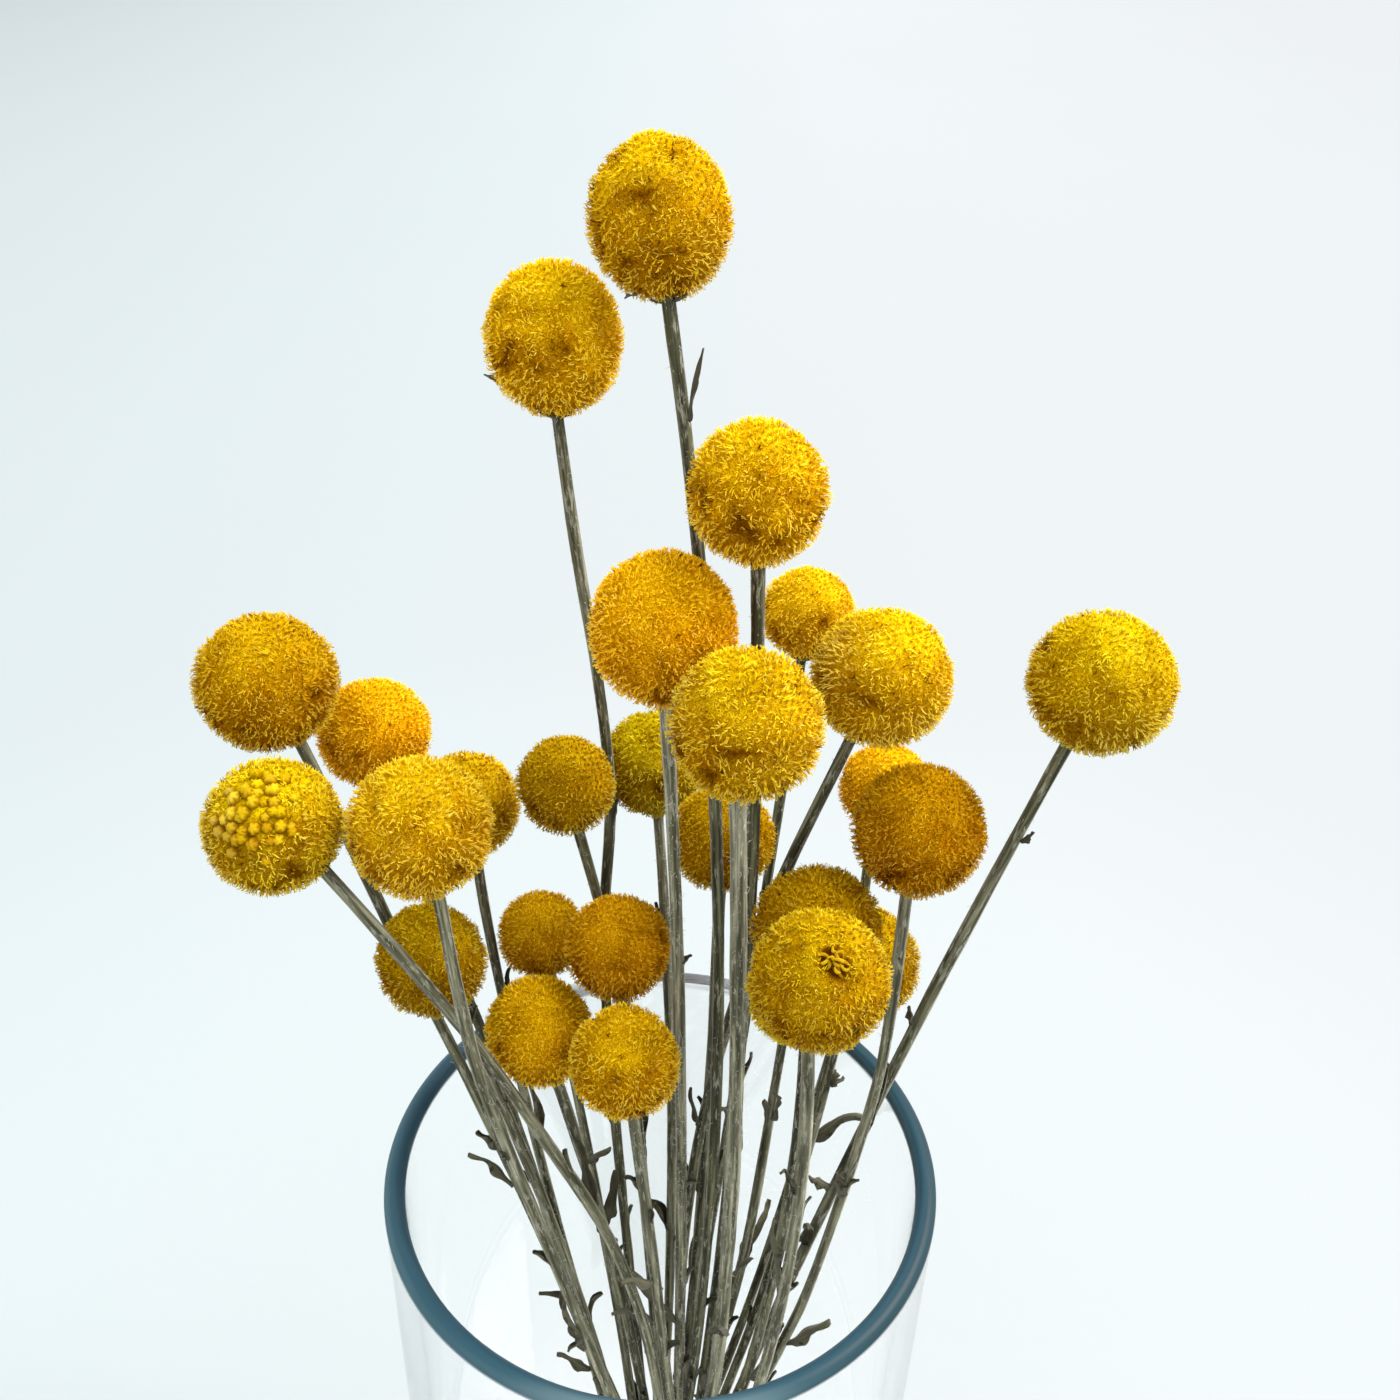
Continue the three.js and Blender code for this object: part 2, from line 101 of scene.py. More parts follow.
SHAFT_SIDES = 18
SHAFT_STEP = 7
SWELL = 0.05  # how much thicker and thinner a shaft gets along it, as a share
UNEVEN = 0.025  # how rough its surface is, as a share of its radius
RIB = 0.055  # height of the ribs, as a share of the shaft's radius
HAIRS = 260  # on a stem
HAIR_WIDTH = 0.05
HAIR_LENGTH = (0.5, 1.7)
LEAF_STARTS = 1.12  # radii from the shaft's middle; what is further out belongs to a leaf
LEAF_STATIONS = 15
LEAF_THICKNESS = 0.22
LEAF_LENGTH = 1.2  # of a low leaf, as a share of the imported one's
LEAF_WIDTH = 1.35  # in the same way
HIGH = 192  # the leaves above it are narrow, have hardly rolled up and stand close to their shafts
HIGH_WIDTH = 0.9
STRAIGHTER = 0.5  # how far towards its shaft's line a leaf is straightened, as a share
SCRAP_STEPS = 12
HOOKED = 0.15  # share of scraps that curl off
BRACT_STEPS = 6
SCRAPS = [  # one in each of these heights: from, to, shortest and longest
    (70, 115, 8, 15), (100, 150, 7, 13), (130, 185, 6, 12), (150, 215, 4, 10), (220, 330, 2, 5),
]

# ---- What sets some heads and stems apart ----
# The directions are from the head's centre and the reaches are radians round them.

BUDDED = {12: (0.0, -0.67, 0.74)}  # still in round buds on this side
BUD_REACH = 0.98
BUD_SPACING = 2.45
BUD_SIZE = (0.42, 0.6)  # its radius as a share of the spacing
BUD_FOLDS = 0.22  # how deep they are
HOLED = {25: (0.14, -0.52, 0.84)}  # a few florets have fallen out here
HOLE_REACH = 0.26
PIT_REACH = 1.3 * HOLE_REACH  # of the dent in the head's core behind it
PIT_DEPTH = 1.5
PIT_SHADE = 2.8  # how much darker the core's tone is there
LOOSE_TUBES = 13  # that lie in the hole
TUBE_LENGTH = (1.2, 2.3)
TUBE_SIDES = 6
TUBE_ROWS = [  # from its root to its mouth: radius, rise, paleness
    (0.2, 0.3, 0.0), (0.26, 0.4, 0.05), (0.3, 0.5, 0.05), (0.34, 0.55, 0.1), (0.34, 0.6, 0.15),
]
YOUNG = (4, 9, 10, 13, 16, 18, 20, 21, 22)  # heads with few old florets, more upright
YOUNGER = 0.3  # how much younger their florets are, where the oldest are 1
YOUNG_LEAN = 0.4  # share of the usual lean
STRANDS = {  # long pale florets: direction, reach, how much longer in mm, how pale
    7: ((-0.74, -0.40, 0.54), 0.85, 0.9, 0.75),
    14: ((0.0, -0.5, 0.86), 3.2, 0.2, 0.12),
    26: ((0.95, 0.0, 0.3), 0.9, 0.3, 0.5),
}
FADED = {  # a pale side: direction, how pale
    5: ((-0.97, -0.1, 0.1), 0.35),
    7: ((0.35, -0.6, -0.7), 0.45),
    8: ((0.1, -0.75, -0.65), 0.7),
    11: ((-0.75, -0.3, -0.6), 0.25),
    12: ((-0.9, -0.3, 0.2), 0.4),
}
FADED_REACH = 1.1
SPURS = {  # a dark bract that stands off the head, by the direction of its tip
    1: (-0.40, -0.50, -0.78),
    2: (-0.90, -0.15, -0.42),
}
STEM_LIGHTNESS = {1: 0.25, 2: 0.45, 3: 0.1, 4: 0.95, 5: 0.9, 6: 0.15, 7: 0.4, 8: 0.5, 9: 0.65}
# painted light and shade for each head: its colours made lighter or darker for how much light it
# gets
HEAD_PAINTED_LIGHT = {  # where it isn't 1
    1.5: (27,), 1.17: (13,), 1.09: (2, 4, 6, 10), 0.93: (1, 14, 22), 0.87: (5, 8, 12, 20, 23),
    0.78: (11, 15, 21), 0.68: (9, 17, 18, 25, 26), 0.6: (16, 19, 24),
}
HEAD_GREENNESS = {  # where it isn't 1
    1.16: (27,), 1.11: (11, 17, 18, 22), 1.07: (2, 4, 6, 8, 12, 13), 1.04: (1, 3, 15),
    1.02: (7, 26), 0.98: (14, 21), 0.96: (9, 10, 19, 20, 25), 0.91: (24,),
}
FUZZY = {2: 1.5, 3: 1.5, 4: 4, 5: 3}  # how many times the usual hairs

# ---- Colours, linear ----

# For each material slot: the gaps between florets, their sides and their tips, on top of the head
# and on its underside, and how strongly its side away from the sun is painted darker. The top
# colours are painted light and the darker low ones painted shade, and the gaps' darker colour is
# partly painted shade between the florets.
FLORET_COLOURS = {
    "floret_lemon": {
        "top": [(0.50, 0.275, 0.001), (0.96, 0.640, 0.002), (1.0, 0.830, 0.015)],
        "low": [(0.39, 0.195, 0.008), (0.92, 0.540, 0.002), (1.0, 0.800, 0.05)],
        "side_shade": 0.75,
    },
    "floret_golden": {
        "top": [(0.48, 0.245, 0.001), (0.96, 0.590, 0.002), (1.0, 0.780, 0.012)],
        "low": [(0.38, 0.170, 0.004), (0.92, 0.495, 0.002), (1.0, 0.750, 0.04)],
        "side_shade": 0.45,
    },
    "floret_orange": {
        "top": [(0.47, 0.205, 0.001), (0.95, 0.505, 0.002), (1.0, 0.680, 0.01)],
        "low": [(0.36, 0.138, 0.002), (0.90, 0.415, 0.002), (1.0, 0.660, 0.03)],
        "side_shade": 0.2,
    },
}
# what the side of a head away from the sun is tinted by: painted shade
SIDE_SHADE_TINT = (0.86, 0.76, 0.03)
BROWNER = (0.94, 0.82, 0.6)
PALE = (0.91, 0.74, 0.17)
SHADE = [(0.20, 0.10, 0.03), (0.58, 0.47, 0.40), (0.92, 0.90, 0.85), (1.0, 1.0, 1.0)]  # by tone

# From the grooves to the ribs of the darkest and of the lightest shaft. The grooves' darker colour
# is partly painted shade.
DARK_SHAFT = [(0.016, 0.016, 0.006), (0.047, 0.046, 0.019), (0.118, 0.115, 0.057)]
LIGHT_SHAFT = [(0.062, 0.059, 0.031), (0.140, 0.134, 0.081), (0.272, 0.260, 0.175)]
FELT = (0.35, 0.337, 0.258)
HAIR = [(0.517, 0.492, 0.417), (0.667, 0.650, 0.583)]
LEAF_FRONT = [(0.013, 0.013, 0.005), (0.040, 0.036, 0.014), (0.100, 0.092, 0.046)]
LEAF_BACK = [(0.042, 0.038, 0.021), (0.108, 0.102, 0.062), (0.242, 0.229, 0.158)]
LEAF_MOTTLE = (0.100, 0.090, 0.046)

GLASS = (0.995, 0.998, 0.998)
# bands across the rim: partly the glass's own tint, partly painted reflection
RIM = [  # from its inner edge to its outer one
    (0.037, 0.075, 0.093), (0.015, 0.043, 0.062), (0.018, 0.055, 0.077), (0.020, 0.062, 0.083),
    (0.042, 0.096, 0.117),
]
# painted darker reflection on the rim's outer half on the right
RIM_PAINTED_DARK = (0.004, 0.017, 0.023)  # what the rim's outer half goes towards on the right
# painted highlight on the rim's outer half at the front
RIM_PAINTED_HIGHLIGHT = (0.13, 0.19, 0.20)  # and at the front
# painted light across the floor, darkest far to the left
FLOOR = [  # from left to right
    (0.203, 0.224, 0.227), (0.260, 0.286, 0.291), (0.284, 0.296, 0.299), (0.279, 0.289, 0.293),
    (0.267, 0.275, 0.279),
]
# painted pool of light: lighter near the vase, darker far off
FLOOR_NEAR = (1.05, 1.055, 1.05)  # share of the floor's tone within a quarter of a metre
FLOOR_FAR = (0.98, 0.97, 0.975)  # and beyond two thirds of one
# painted light on the floor under the vase
FLOOR_UNDER = (0.331, 0.341, 0.341)  # under the vase
FLOOR_UNEVEN = (0.94, 0.95, 0.955)  # share of its tone that slow patches go towards
FLOOR_HALF = 12.0  # of its width, in metres
SKY = (0.93, 0.97, 1.0, 1)
SKY_STRENGTH = 1.79
SUN = (1.0, 0.985, 0.96)
SUN_ENERGY = 5.8
SUN_WIDTH = math.radians(40)
SUN_TOWARDS = (0.6, 0.22, 0.77)  # from the vase

nodes = {}


# ---- Small helpers ----


def unit(vectors):
    return vectors / np.linalg.norm(vectors, axis=-1, keepdims=True)


def smoothstep(low, high, value):
    share = np.clip((value - low) / (high - low), 0, 1)
    return share * share * (3 - 2 * share)


def square_to(vectors, ahead):
    """What is left of the vectors without their share along ahead."""
    return vectors - (vectors * ahead).sum(1, keepdims=True) * ahead


def side_by_side(shape, *values):
    """The values together at each place of an array of this shape."""
    return np.stack([np.broadcast_to(value, shape) for value in values], axis=-1)


def all_round(count):
    """Even angles round a circle."""
    return 2 * math.pi * np.arange(count) / count


def turned(first, second, angle):
    """The first direction, turned towards the second by the angle."""
    return np.cos(angle) * first + np.sin(angle) * second


def lengths(line):
    """Of the steps from each place of a line to the next."""
    return np.linalg.norm(np.diff(line, axis=0), axis=1)


def walk(start, steps):
    """The places that these steps lead through."""
    return start + np.concatenate([np.zeros((1, 3)), np.cumsum(steps, axis=0)])


def three_round(middle, first, second):
    """Three corners round a middle: one at first from it, and two behind it, second apart."""
    behind = middle - first / 2
    return [middle + first, behind + second, behind - second]


def put(name, data):
    """A new object in the scene."""
    made = bpy.data.objects.new(name, data)
    bpy.context.scene.collection.objects.link(made)
    return made


def value_for(number, table):
    """The value that the table gives a flower, or 1."""
    return next((value for value, numbers in table.items() if number in numbers), 1)


def node_points(name):
    """A CAD node's corners in mm, each once, and its triangles as rows of their numbers."""
    mesh = nodes[name].data
    flat = np.empty(len(mesh.vertices) * 3, np.float32)
    mesh.vertices.foreach_get("co", flat)
    places = np.round(flat.reshape(-1, 3).astype(float) / MM, 2)
    mesh.calc_loop_triangles()
    corners = np.empty(len(mesh.loop_triangles) * 3, np.int32)
    mesh.loop_triangles.foreach_get("vertices", corners)
    points, number = np.unique(places, axis=0, return_inverse=True)
    return points, number.reshape(-1)[corners].reshape(-1, 3)


class Parts:
    """Closed bodies that end up in one mesh. Each corner carries three numbers for its look."""

    def __init__(self):
        self.points, self.triangles, self.looks, self.slots, self.smooth = [], [], [], [], []
        self.count = 0

    def add(self, points, triangles, looks, slot=0, smooth=True):
        """points is one body's corners, or an array of bodies with the same triangles."""
        bodies = points.reshape(-1, points.shape[-2], 3)
        starts = bodies.shape[1] * np.arange(len(bodies)) + self.count
        every = (triangles[None] + starts[:, None, None]).reshape(-1, 3)
        flat = bodies.reshape(-1, 3)
        self.points.append(flat)
        self.looks.append(np.broadcast_to(looks, points.shape).reshape(-1, 3))
        self.triangles.append(every)
        self.slots.append(np.broadcast_to(slot, len(every)))
        self.smooth.append(np.full(len(every), smooth))
        self.count += len(flat)

    def add_tube(self, rings, looks, slot=0, smooth=True):
        """rings is a tube's corners, one ring after the other."""
        self.add(rings.reshape(1, -1, 3), tube_triangles(*rings.shape[:2]),
                 looks.reshape(1, -1, 3), slot, smooth)

    def piece(self, name, origin, materials, own=(1, 1)):
        """The mesh as an object at origin, riding on the body. own is two numbers for its look
        that are the same all over it."""
        mesh = bpy.data.meshes.new(name)
        points = (np.concatenate(self.points) - origin) * MM
        mesh.from_pydata(points, [], np.concatenate(self.triangles))
        looks = np.concatenate(self.looks).ravel()
        for label, values in (("look", looks), ("own", np.tile([*own, 0], self.count))):
            attribute = mesh.attributes.new(label, "FLOAT_VECTOR", "POINT")
            attribute.data.foreach_set("vector", values.astype(np.float32))
        mesh.polygons.foreach_set("material_index", np.concatenate(self.slots).astype(np.int32))
        mesh.polygons.foreach_set("use_smooth", np.concatenate(self.smooth))
        for made in materials:
            mesh.materials.append(made)
        mesh.update()
        piece = put(name, mesh)
        piece.location = Vector(origin) * MM
        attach(piece, BODY)
        return piece


def wall_triangles(rings, sides):
    """The triangles between the rings of a tube."""
    triangles = []
    for ring in range(rings - 1):
        for side in range(sides):
            a = ring * sides + side
            b = ring * sides + (side + 1) % sides
            triangles += [(a, b, b + sides), (a, b + sides, a + sides)]
    return triangles


def tube_triangles(rings, sides):
    """The triangles of a tube of rings, with a flat cap at each end."""
    triangles = wall_triangles(rings, sides)
    last = (rings - 1) * sides
    for side in range(1, sides - 1):
        triangles += [(0, side + 1, side), (last, last + side, last + side + 1)]
    return np.array(triangles)


def along(knots, steps):
    """A Catmull-Rom curve through the knots, at steps even places, each in shares of the whole."""
    padded = np.concatenate([[2 * knots[0] - knots[1]], knots, [2 * knots[-1] - knots[-2]]])
    where = np.linspace(0, len(knots) - 1, steps)
    span = np.minimum(where.astype(int), len(knots) - 2)
    t = (where - span)[:, None]
    a, b, c, d = (padded[span + i] for i in range(4))
    return 0.5 * (2 * b + (c - a) * t + (2 * a - 5 * b + 4 * c - d) * t**2
                  + (3 * b - a - 3 * c + d) * t**3)


# ---- Materials ----


class Graph:
    """A material or world's node tree, filled one node at a time."""

    def __init__(self, owner):
        owner.use_nodes = True
        self.owner = owner
        self.tree = owner.node_tree
        self.tree.nodes.clear()

    def add(self, kind, inputs=None, **settings):
        node = self.tree.nodes.new("ShaderNode" + kind)
        for name, value in settings.items():
            setattr(node, name, value)
        for name, value in (inputs or {}).items():
            if isinstance(value, bpy.types.NodeSocket):
                self.tree.links.new(value, node.inputs[name])
            else:
                node.inputs[name].default_value = value
        return node

    def math(self, operation, a, b=0.0):
        return self.add("Math", {0: a, 1: b}, operation=operation).outputs[0]

    def plus(self, a, b):
        return self.math("ADD", a, b)

    def minus(self, a, b):
        return self.math("SUBTRACT", a, b)

    def times(self, a, b):
        return self.math("MULTIPLY", a, b)

    def between(self, value, low, high, out_low=0.0, out_high=1.0):
        """value from low to high, turned into out_low to out_high and held there."""
        inputs = {"Value": value, "From Min": low, "From Max": high}
        inputs.update({"To Min": out_low, "To Max": out_high})
        return self.add("MapRange", inputs, interpolation_type="SMOOTHSTEP").outputs[0]

    def vector(self, x, y, z=0.0):
        return self.add("CombineXYZ", {0: x, 1: y, 2: z}).outputs[0]

    def split(self, vector):
        return self.add("SeparateXYZ", {0: vector}).outputs

    def stretched(self, vector, scale):
        return self.add("Mapping", {"Vector": vector, "Scale": scale}).outputs[0]

    def from_axis(self, x, y):
        """How far a place is from the object's Z axis."""
        return self.math("SQRT", self.plus(self.times(x, x), self.times(y, y)))

    def mix(self, share, a, b, blend="MIX"):
        a, b = ((*colour, 1) if isinstance(colour, tuple) else colour for colour in (a, b))
        settings = {"data_type": "RGBA", "blend_type": blend, "clamp_result": True}
        return self.add("Mix", {0: share, 6: a, 7: b}, **settings).outputs[2]

    def tinted(self, colour, tint):
        return self.mix(1.0, colour, tint, "MULTIPLY")

    def ramp(self, value, places, colours):
        node = self.add("ValToRGB", {"Fac": value})
        elements = node.color_ramp.elements
        while len(elements) < len(places):
            elements.new(0.5)
        for element, place, colour in zip(elements, places, colours):
            element.position = place
            element.color = (*colour, 1)
        return node.outputs["Color"]

    def noise(self, vector, scale, detail=2.0, roughness=0.5):
        inputs = {"Vector": vector, "Scale": scale, "Detail": detail, "Roughness": roughness}
        return self.add("TexNoise", inputs).outputs["Fac"]

    def place(self):
        """Where on the piece it is, in metres from its origin."""
        return self.add("TexCoord").outputs["Object"]

    def look(self, name="look"):
        """The three numbers that each corner of a piece carries under this name."""
        return self.split(self.add("Attribute", attribute_name=name).outputs["Vector"])

    def surface(self, shader):
        """The material, finished with this shader."""
        self.tree.links.new(shader.outputs[0], self.add("OutputMaterial").inputs["Surface"])
        return self.owner


def stroke_lines(g, place, scale):
    """1 on fine crooked lines all over a surface and 0 between them."""
    off_middle = g.math("ABSOLUTE", g.minus(g.noise(place, scale, 1), 0.5))
    return g.between(off_middle, 0.01, 0.07, 1.0, 0.0)


def softened(g, place):
    """The normal, turned towards the one that the head's ball has there."""
    outward = g.add("VectorMath", {0: place}, operation="NORMALIZE").outputs[0]
    outward = g.add("VectorMath", {0: outward, "Scale": SOFTNESS}, operation="SCALE").outputs[0]
    total = g.add("VectorMath", {0: g.add("NewGeometry").outputs["Normal"], 1: outward})
    return g.add("VectorMath", {0: total.outputs[0]}, operation="NORMALIZE").outputs[0]


def floret_colour(g, place, rise, tone, pale, broad, slot):
    """The florets' colour on a head. broad is slow noise that bends the borders of its zones."""
    x, y, z = g.split(place)
    # painted light and shade: the top colours on top of the head, the darker low ones below it
    high = g.between(g.plus(z, g.times(broad, 0.012)), 0.003, 0.021)
    colours = FLORET_COLOURS[slot]
    # rise runs from the gap colour at a floret's root, partly painted shade, to its tip's colour
    places = (0.15, 0.55, 0.9)
    top, low = (g.ramp(rise, places, colours[side]) for side in ("top", "low"))
    colour = g.mix(high, low, top)
    # the side away from the sun, where left is lowest, is painted darker: painted shade
    left = g.plus(x, g.plus(g.times(z, 0.55), g.times(y, 0.2)))
    left = g.minus(left, g.times(broad, 0.006))
    shaded = g.between(left, -0.015, 0.000, colours["side_shade"], 0.0)
    colour = g.mix(shaded, colour, g.tinted(colour, SIDE_SHADE_TINT))
    patches = g.between(g.noise(place, 95, 3, 0.6), 0.48, 0.68)
    colour = g.mix(patches, colour, g.tinted(colour, BROWNER))
    colour = g.tinted(g.mix(pale, colour, PALE), g.ramp(tone, (0, 0.12, 0.5, 1), SHADE))
    # each head's painted light and shade, and its greenness
    lightness, greener, _ = g.look("own")
    return g.tinted(colour, g.vector(lightness, g.times(lightness, greener), lightness))


def floret_material(slot):
    """look: how far up the floret (less 1 on the head's core), its tone, and how pale it is.
    own: the head's painted light and shade, as its lightness, and its greenness, 1 as usual."""
    g = Graph(bpy.data.materials.new(slot))
    rise, tone, pale = g.look()
    place = g.place()
    on_core = g.math("LESS_THAN", rise, -0.01)
    strokes = [stroke_lines(g, place, scale) for scale in (1500, 2300)]
    strokes = g.times(on_core, g.math("MAXIMUM", *strokes))
    rise = g.plus(g.plus(rise, on_core), g.times(strokes, 0.4))
    colour = floret_colour(g, place, rise, tone, pale, g.noise(place, 170, 2), slot)
    grain = g.noise(place, 2200, 3, 0.6)
    bump = g.add("Bump", {"Height": g.plus(grain, strokes), "Strength": 0.4, "Distance": 0.0003,
                          "Normal": softened(g, place)}).outputs[0]
    shader = g.add("BsdfPrincipled", {
        "Base Color": colour, "Roughness": g.between(grain, 0.3, 0.7, 0.62, 0.9),
        "Normal": bump, "Specular IOR Level": 0.0,
    })
    thin = g.add("Gamma", {"Color": colour, "Gamma": 0.5}).outputs[0]
    through = g.add("BsdfTranslucent", {"Color": thin, "Normal": bump})
    return g.surface(g.add("MixShader", {0: GLOW, 1: shader.outputs[0], 2: through.outputs[0]}))


def stem_material():
    """look: where the corner is in the straightened shaft, in metres. own: dark to light."""
    g = Graph(bpy.data.materials.new("stem_shaft"))
    shaft = g.add("Attribute", attribute_name="look").outputs["Vector"]
    lengthwise = g.stretched(shaft, (1, 1, 0.04))
    fibres = g.noise(lengthwise, 2600, 2, 0.6)
    ribs = g.noise(lengthwise, 1000, 1)
    slow = g.noise(g.stretched(shaft, (0, 0, 1)), 22, 1)
    felt = g.noise(g.stretched(shaft, (1, 1, 0.16)), 1300, 4, 0.7)
    # darker in the grooves, partly painted shade
    dark, light = (g.ramp(ribs, (0.34, 0.5, 0.66), colours) for colours in (DARK_SHAFT, LIGHT_SHAFT))
    lightness, _, _ = g.look("own")
    share = g.plus(lightness, g.between(slow, 0.35, 0.65, -0.25, 0.25))
    colour = g.mix(g.between(share, 0.0, 1.0), dark, light)
    streak = g.between(fibres, 0.35, 0.68, 0.6, 1.3)
    colour = g.tinted(colour, g.vector(streak, streak, streak))
    colour = g.mix(g.between(felt, 0.52, 0.68, 0, 0.75), colour, FELT)
    height = g.plus(g.times(fibres, 0.5), ribs)
    bump = g.add("Bump", {"Height": height, "Strength": 0.6, "Distance": 0.0002})
    return g.surface(g.add("BsdfPrincipled", {
        "Base Color": colour, "Roughness": g.between(fibres, 0.3, 0.7, 0.65, 0.9),
        "Normal": bump.outputs[0], "Specular IOR Level": 0.2,
        "Sheen Weight": 0.25, "Sheen Roughness": 0.35, "Sheen Tint": (0.95, 0.93, 0.80, 1),
    }))


def leaf_material():
    """look: across the blade, along it, and how much this is its back."""
    g = Graph(bpy.data.materials.new("stem_leaf"))
    across, length, back = g.look()
    veins = g.noise(g.vector(across, g.times(length, 0.12), back), 9, 3, 0.6)
    mottle = g.noise(g.place(), 420, 4, 0.6)
    front = g.ramp(veins, (0.3, 0.55, 0.8), LEAF_FRONT)
    under = g.ramp(veins, (0.3, 0.6, 0.85), LEAF_BACK)
    colour = g.mix(g.between(mottle, 0.42, 0.66, 0, 0.4), g.mix(back, front, under), LEAF_MOTTLE)
    bump = g.add("Bump", {"Height": veins, "Strength": 0.6, "Distance": 0.0003})
    return g.surface(g.add("BsdfPrincipled", {
        "Base Color": colour, "Roughness": g.between(mottle, 0.3, 0.7, 0.6, 0.85),
        "Normal": bump.outputs[0], "Specular IOR Level": 0.25,
        "Sheen Weight": 0.06, "Sheen Roughness": 0.5,
    }))


def hair_material():
    """The felt's stray hairs."""
    g = Graph(bpy.data.materials.new("stem_hair"))
    return g.surface(g.add("BsdfPrincipled", {
        "Base Color": g.ramp(g.noise(g.place(), 900, 2), (0.3, 0.7), HAIR),
        "Roughness": 0.8, "Specular IOR Level": 0.2, "Sheen Weight": 0.2, "Sheen Roughness": 0.5,
    }))


def rim_tint(g, x, y, reach, radius):
    """The rim's colour, by how far out on it and where round it a place is: slate blue bands and
    streaks, partly the glass's own tint and partly painted reflection, painted darker on the right
    and with a painted highlight at the front.
    """
    around = g.vector(g.times(reach, 1 / WALL / MM), g.math("ARCTAN2", y, x))
    outward = g.between(reach, radius - WALL * MM, radius)
    outward = g.plus(outward, g.times(g.noise(around, 1.6, 3), 0.5))
    tint = g.ramp(g.minus(outward, 0.25), (0.0, 0.12, 0.4, 0.75, 1.0), RIM)
    outer = g.between(outward, 0.5, 1.0)
    # painted darker reflection on the right
    painted_dark = g.times(g.between(x, 0.0, 0.9 * radius, 0.0, 0.8), outer)
    tint = g.mix(painted_dark, tint, RIM_PAINTED_DARK)
    # painted highlight at the front
    painted_highlight = g.times(g.between(y, -radius, -0.85 * radius, 0.7, 0.0), g.between(outward, 0.1, 0.9))
    return g.mix(painted_highlight, tint, RIM_PAINTED_HIGHLIGHT)


def glass_material(name, height, gloss):
    """Clear glass that lets lamps through. The rim is slate blue, partly the glass's own tint and
    partly painted reflection, and palest at the back, where its tint is painted fading out.
    """
    g = Graph(bpy.data.materials.new(name))
    place = g.place()
    x, y, level = g.split(place)
    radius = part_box("vase")[1].x
    edge = g.between(level, (height - RIM_DEPTH) * MM, (height - 0.55 * RIM_DEPTH) * MM)
    edge = g.times(edge, g.minus(1.0, g.add("NewGeometry").outputs["Backfacing"]))
    # the rim's tint painted fading out towards the back
    edge = g.times(edge, g.between(y, 0.80 * radius, 0.97 * radius, 1.0, 0.05))
    colour = g.mix(edge, GLASS, rim_tint(g, x, y, g.from_axis(x, y), radius))
    rough = g.between(g.noise(place, 35, 4), 0.4, 0.75, 0.0, 0.04)
    glass = g.add("BsdfPrincipled", {
        "Base Color": colour, "Roughness": g.plus(rough, g.times(edge, 0.4)), "IOR": 1.5,
        "Transmission Weight": g.minus(1.0, g.times(edge, 0.92)), "Specular IOR Level": gloss,
    })
    path = g.add("LightPath").outputs
    through = g.math("MAXIMUM", path["Is Shadow Ray"], path["Is Diffuse Ray"])
    clear = g.add("BsdfTransparent", {"Color": colour})
    return g.surface(g.add("MixShader", {0: through, 1: glass.outputs[0], 2: clear.outputs[0]}))


# ---- Heads ----


def head_form(name):
    """A head's centre, its own axes as columns with the stem's direction last, and its half
    sizes. The florets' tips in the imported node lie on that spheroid."""
    points, _ = node_points(name)
    middle = (points.min(0) + points.max(0)) / 2
    socket = points[np.linalg.norm(points - middle, axis=1).argmin()]
    axis = unit(middle - socket)
    for _ in range(3):
        offset = points - middle
        far = np.linalg.norm(offset, axis=1)
        offset = offset[far > np.percentile(far, 75)]
        up = offset @ axis
        out = offset - up[:, None] * axis
        terms = np.column_stack([(out**2).sum(1), up**2, up, out])
        wide, tall, shift, *side = np.linalg.lstsq(terms, np.ones(len(up)), rcond=None)[0]
        rise = -shift / (2 * tall)
        aside = -np.array(side) / (2 * wide)
        middle = middle + axis * rise + aside - axis * (aside @ axis)
        axis = unit(middle - socket)
    scale = 1 + tall * rise**2 + wide * (aside @ aside)
    half = np.sqrt(scale / np.array([wide, wide, tall]))
    first = unit(np.cross(axis, [0.0, 1.0, 0.0]))
    axes = np.column_stack([first, np.cross(axis, first), axis])
    return {"centre": middle, "axes": axes, "half": half}


def spiral(count, lowest):
    """Unit vectors in a sunflower spiral, from the top of a ball down to the height lowest."""
    place = np.arange(count) + 0.5
    z = 1 - (1 - lowest) * place / count
    turn = place * math.pi * (3 - math.sqrt(5))
    out = np.sqrt(1 - z**2)
    return np.column_stack([out * np.cos(turn), out * np.sin(turn), z])


def wobble(points, size, offset):
    """Smooth noise about 0 at each point, with features about size across."""
    shift = Vector((offset, 0.7 * offset, 1.3 * offset))
    return np.array([noise.noise(Vector(p / size) + shift) for p in points])


BRISTLE = np.array([(1, 2, 4), (2, 3, 4), (3, 1, 4), (2, 1, 0), (3, 2, 0), (1, 3, 0)])
BRISTLE_RISE = np.array([0, 0.56, 0.5, 0.5, 1])
CURL = np.array([(2, 1, 0), (3, 2, 0), (1, 3, 0), (1, 2, 5), (1, 5, 4), (2, 3, 6), (2, 6, 5),
                 (3, 1, 4), (3, 4, 6), (4, 5, 7), (5, 6, 7), (6, 4, 7)])
CURL_RISE = np.array([0, 0.6, 0.55, 0.55, 0.9, 0.82, 0.82, 1])
SPIKE = np.array([(0, 1, 3), (1, 2, 3), (2, 0, 3), (0, 2, 1)])


def nearness(ways, direction, reach):
    """1 in the middle of the zone round a direction, falling to 0 at its reach."""
    cosine = ways @ unit(np.array(direction))
    return smoothstep(1, 0, np.arccos(np.clip(cosine, -1, 1)) / reach)


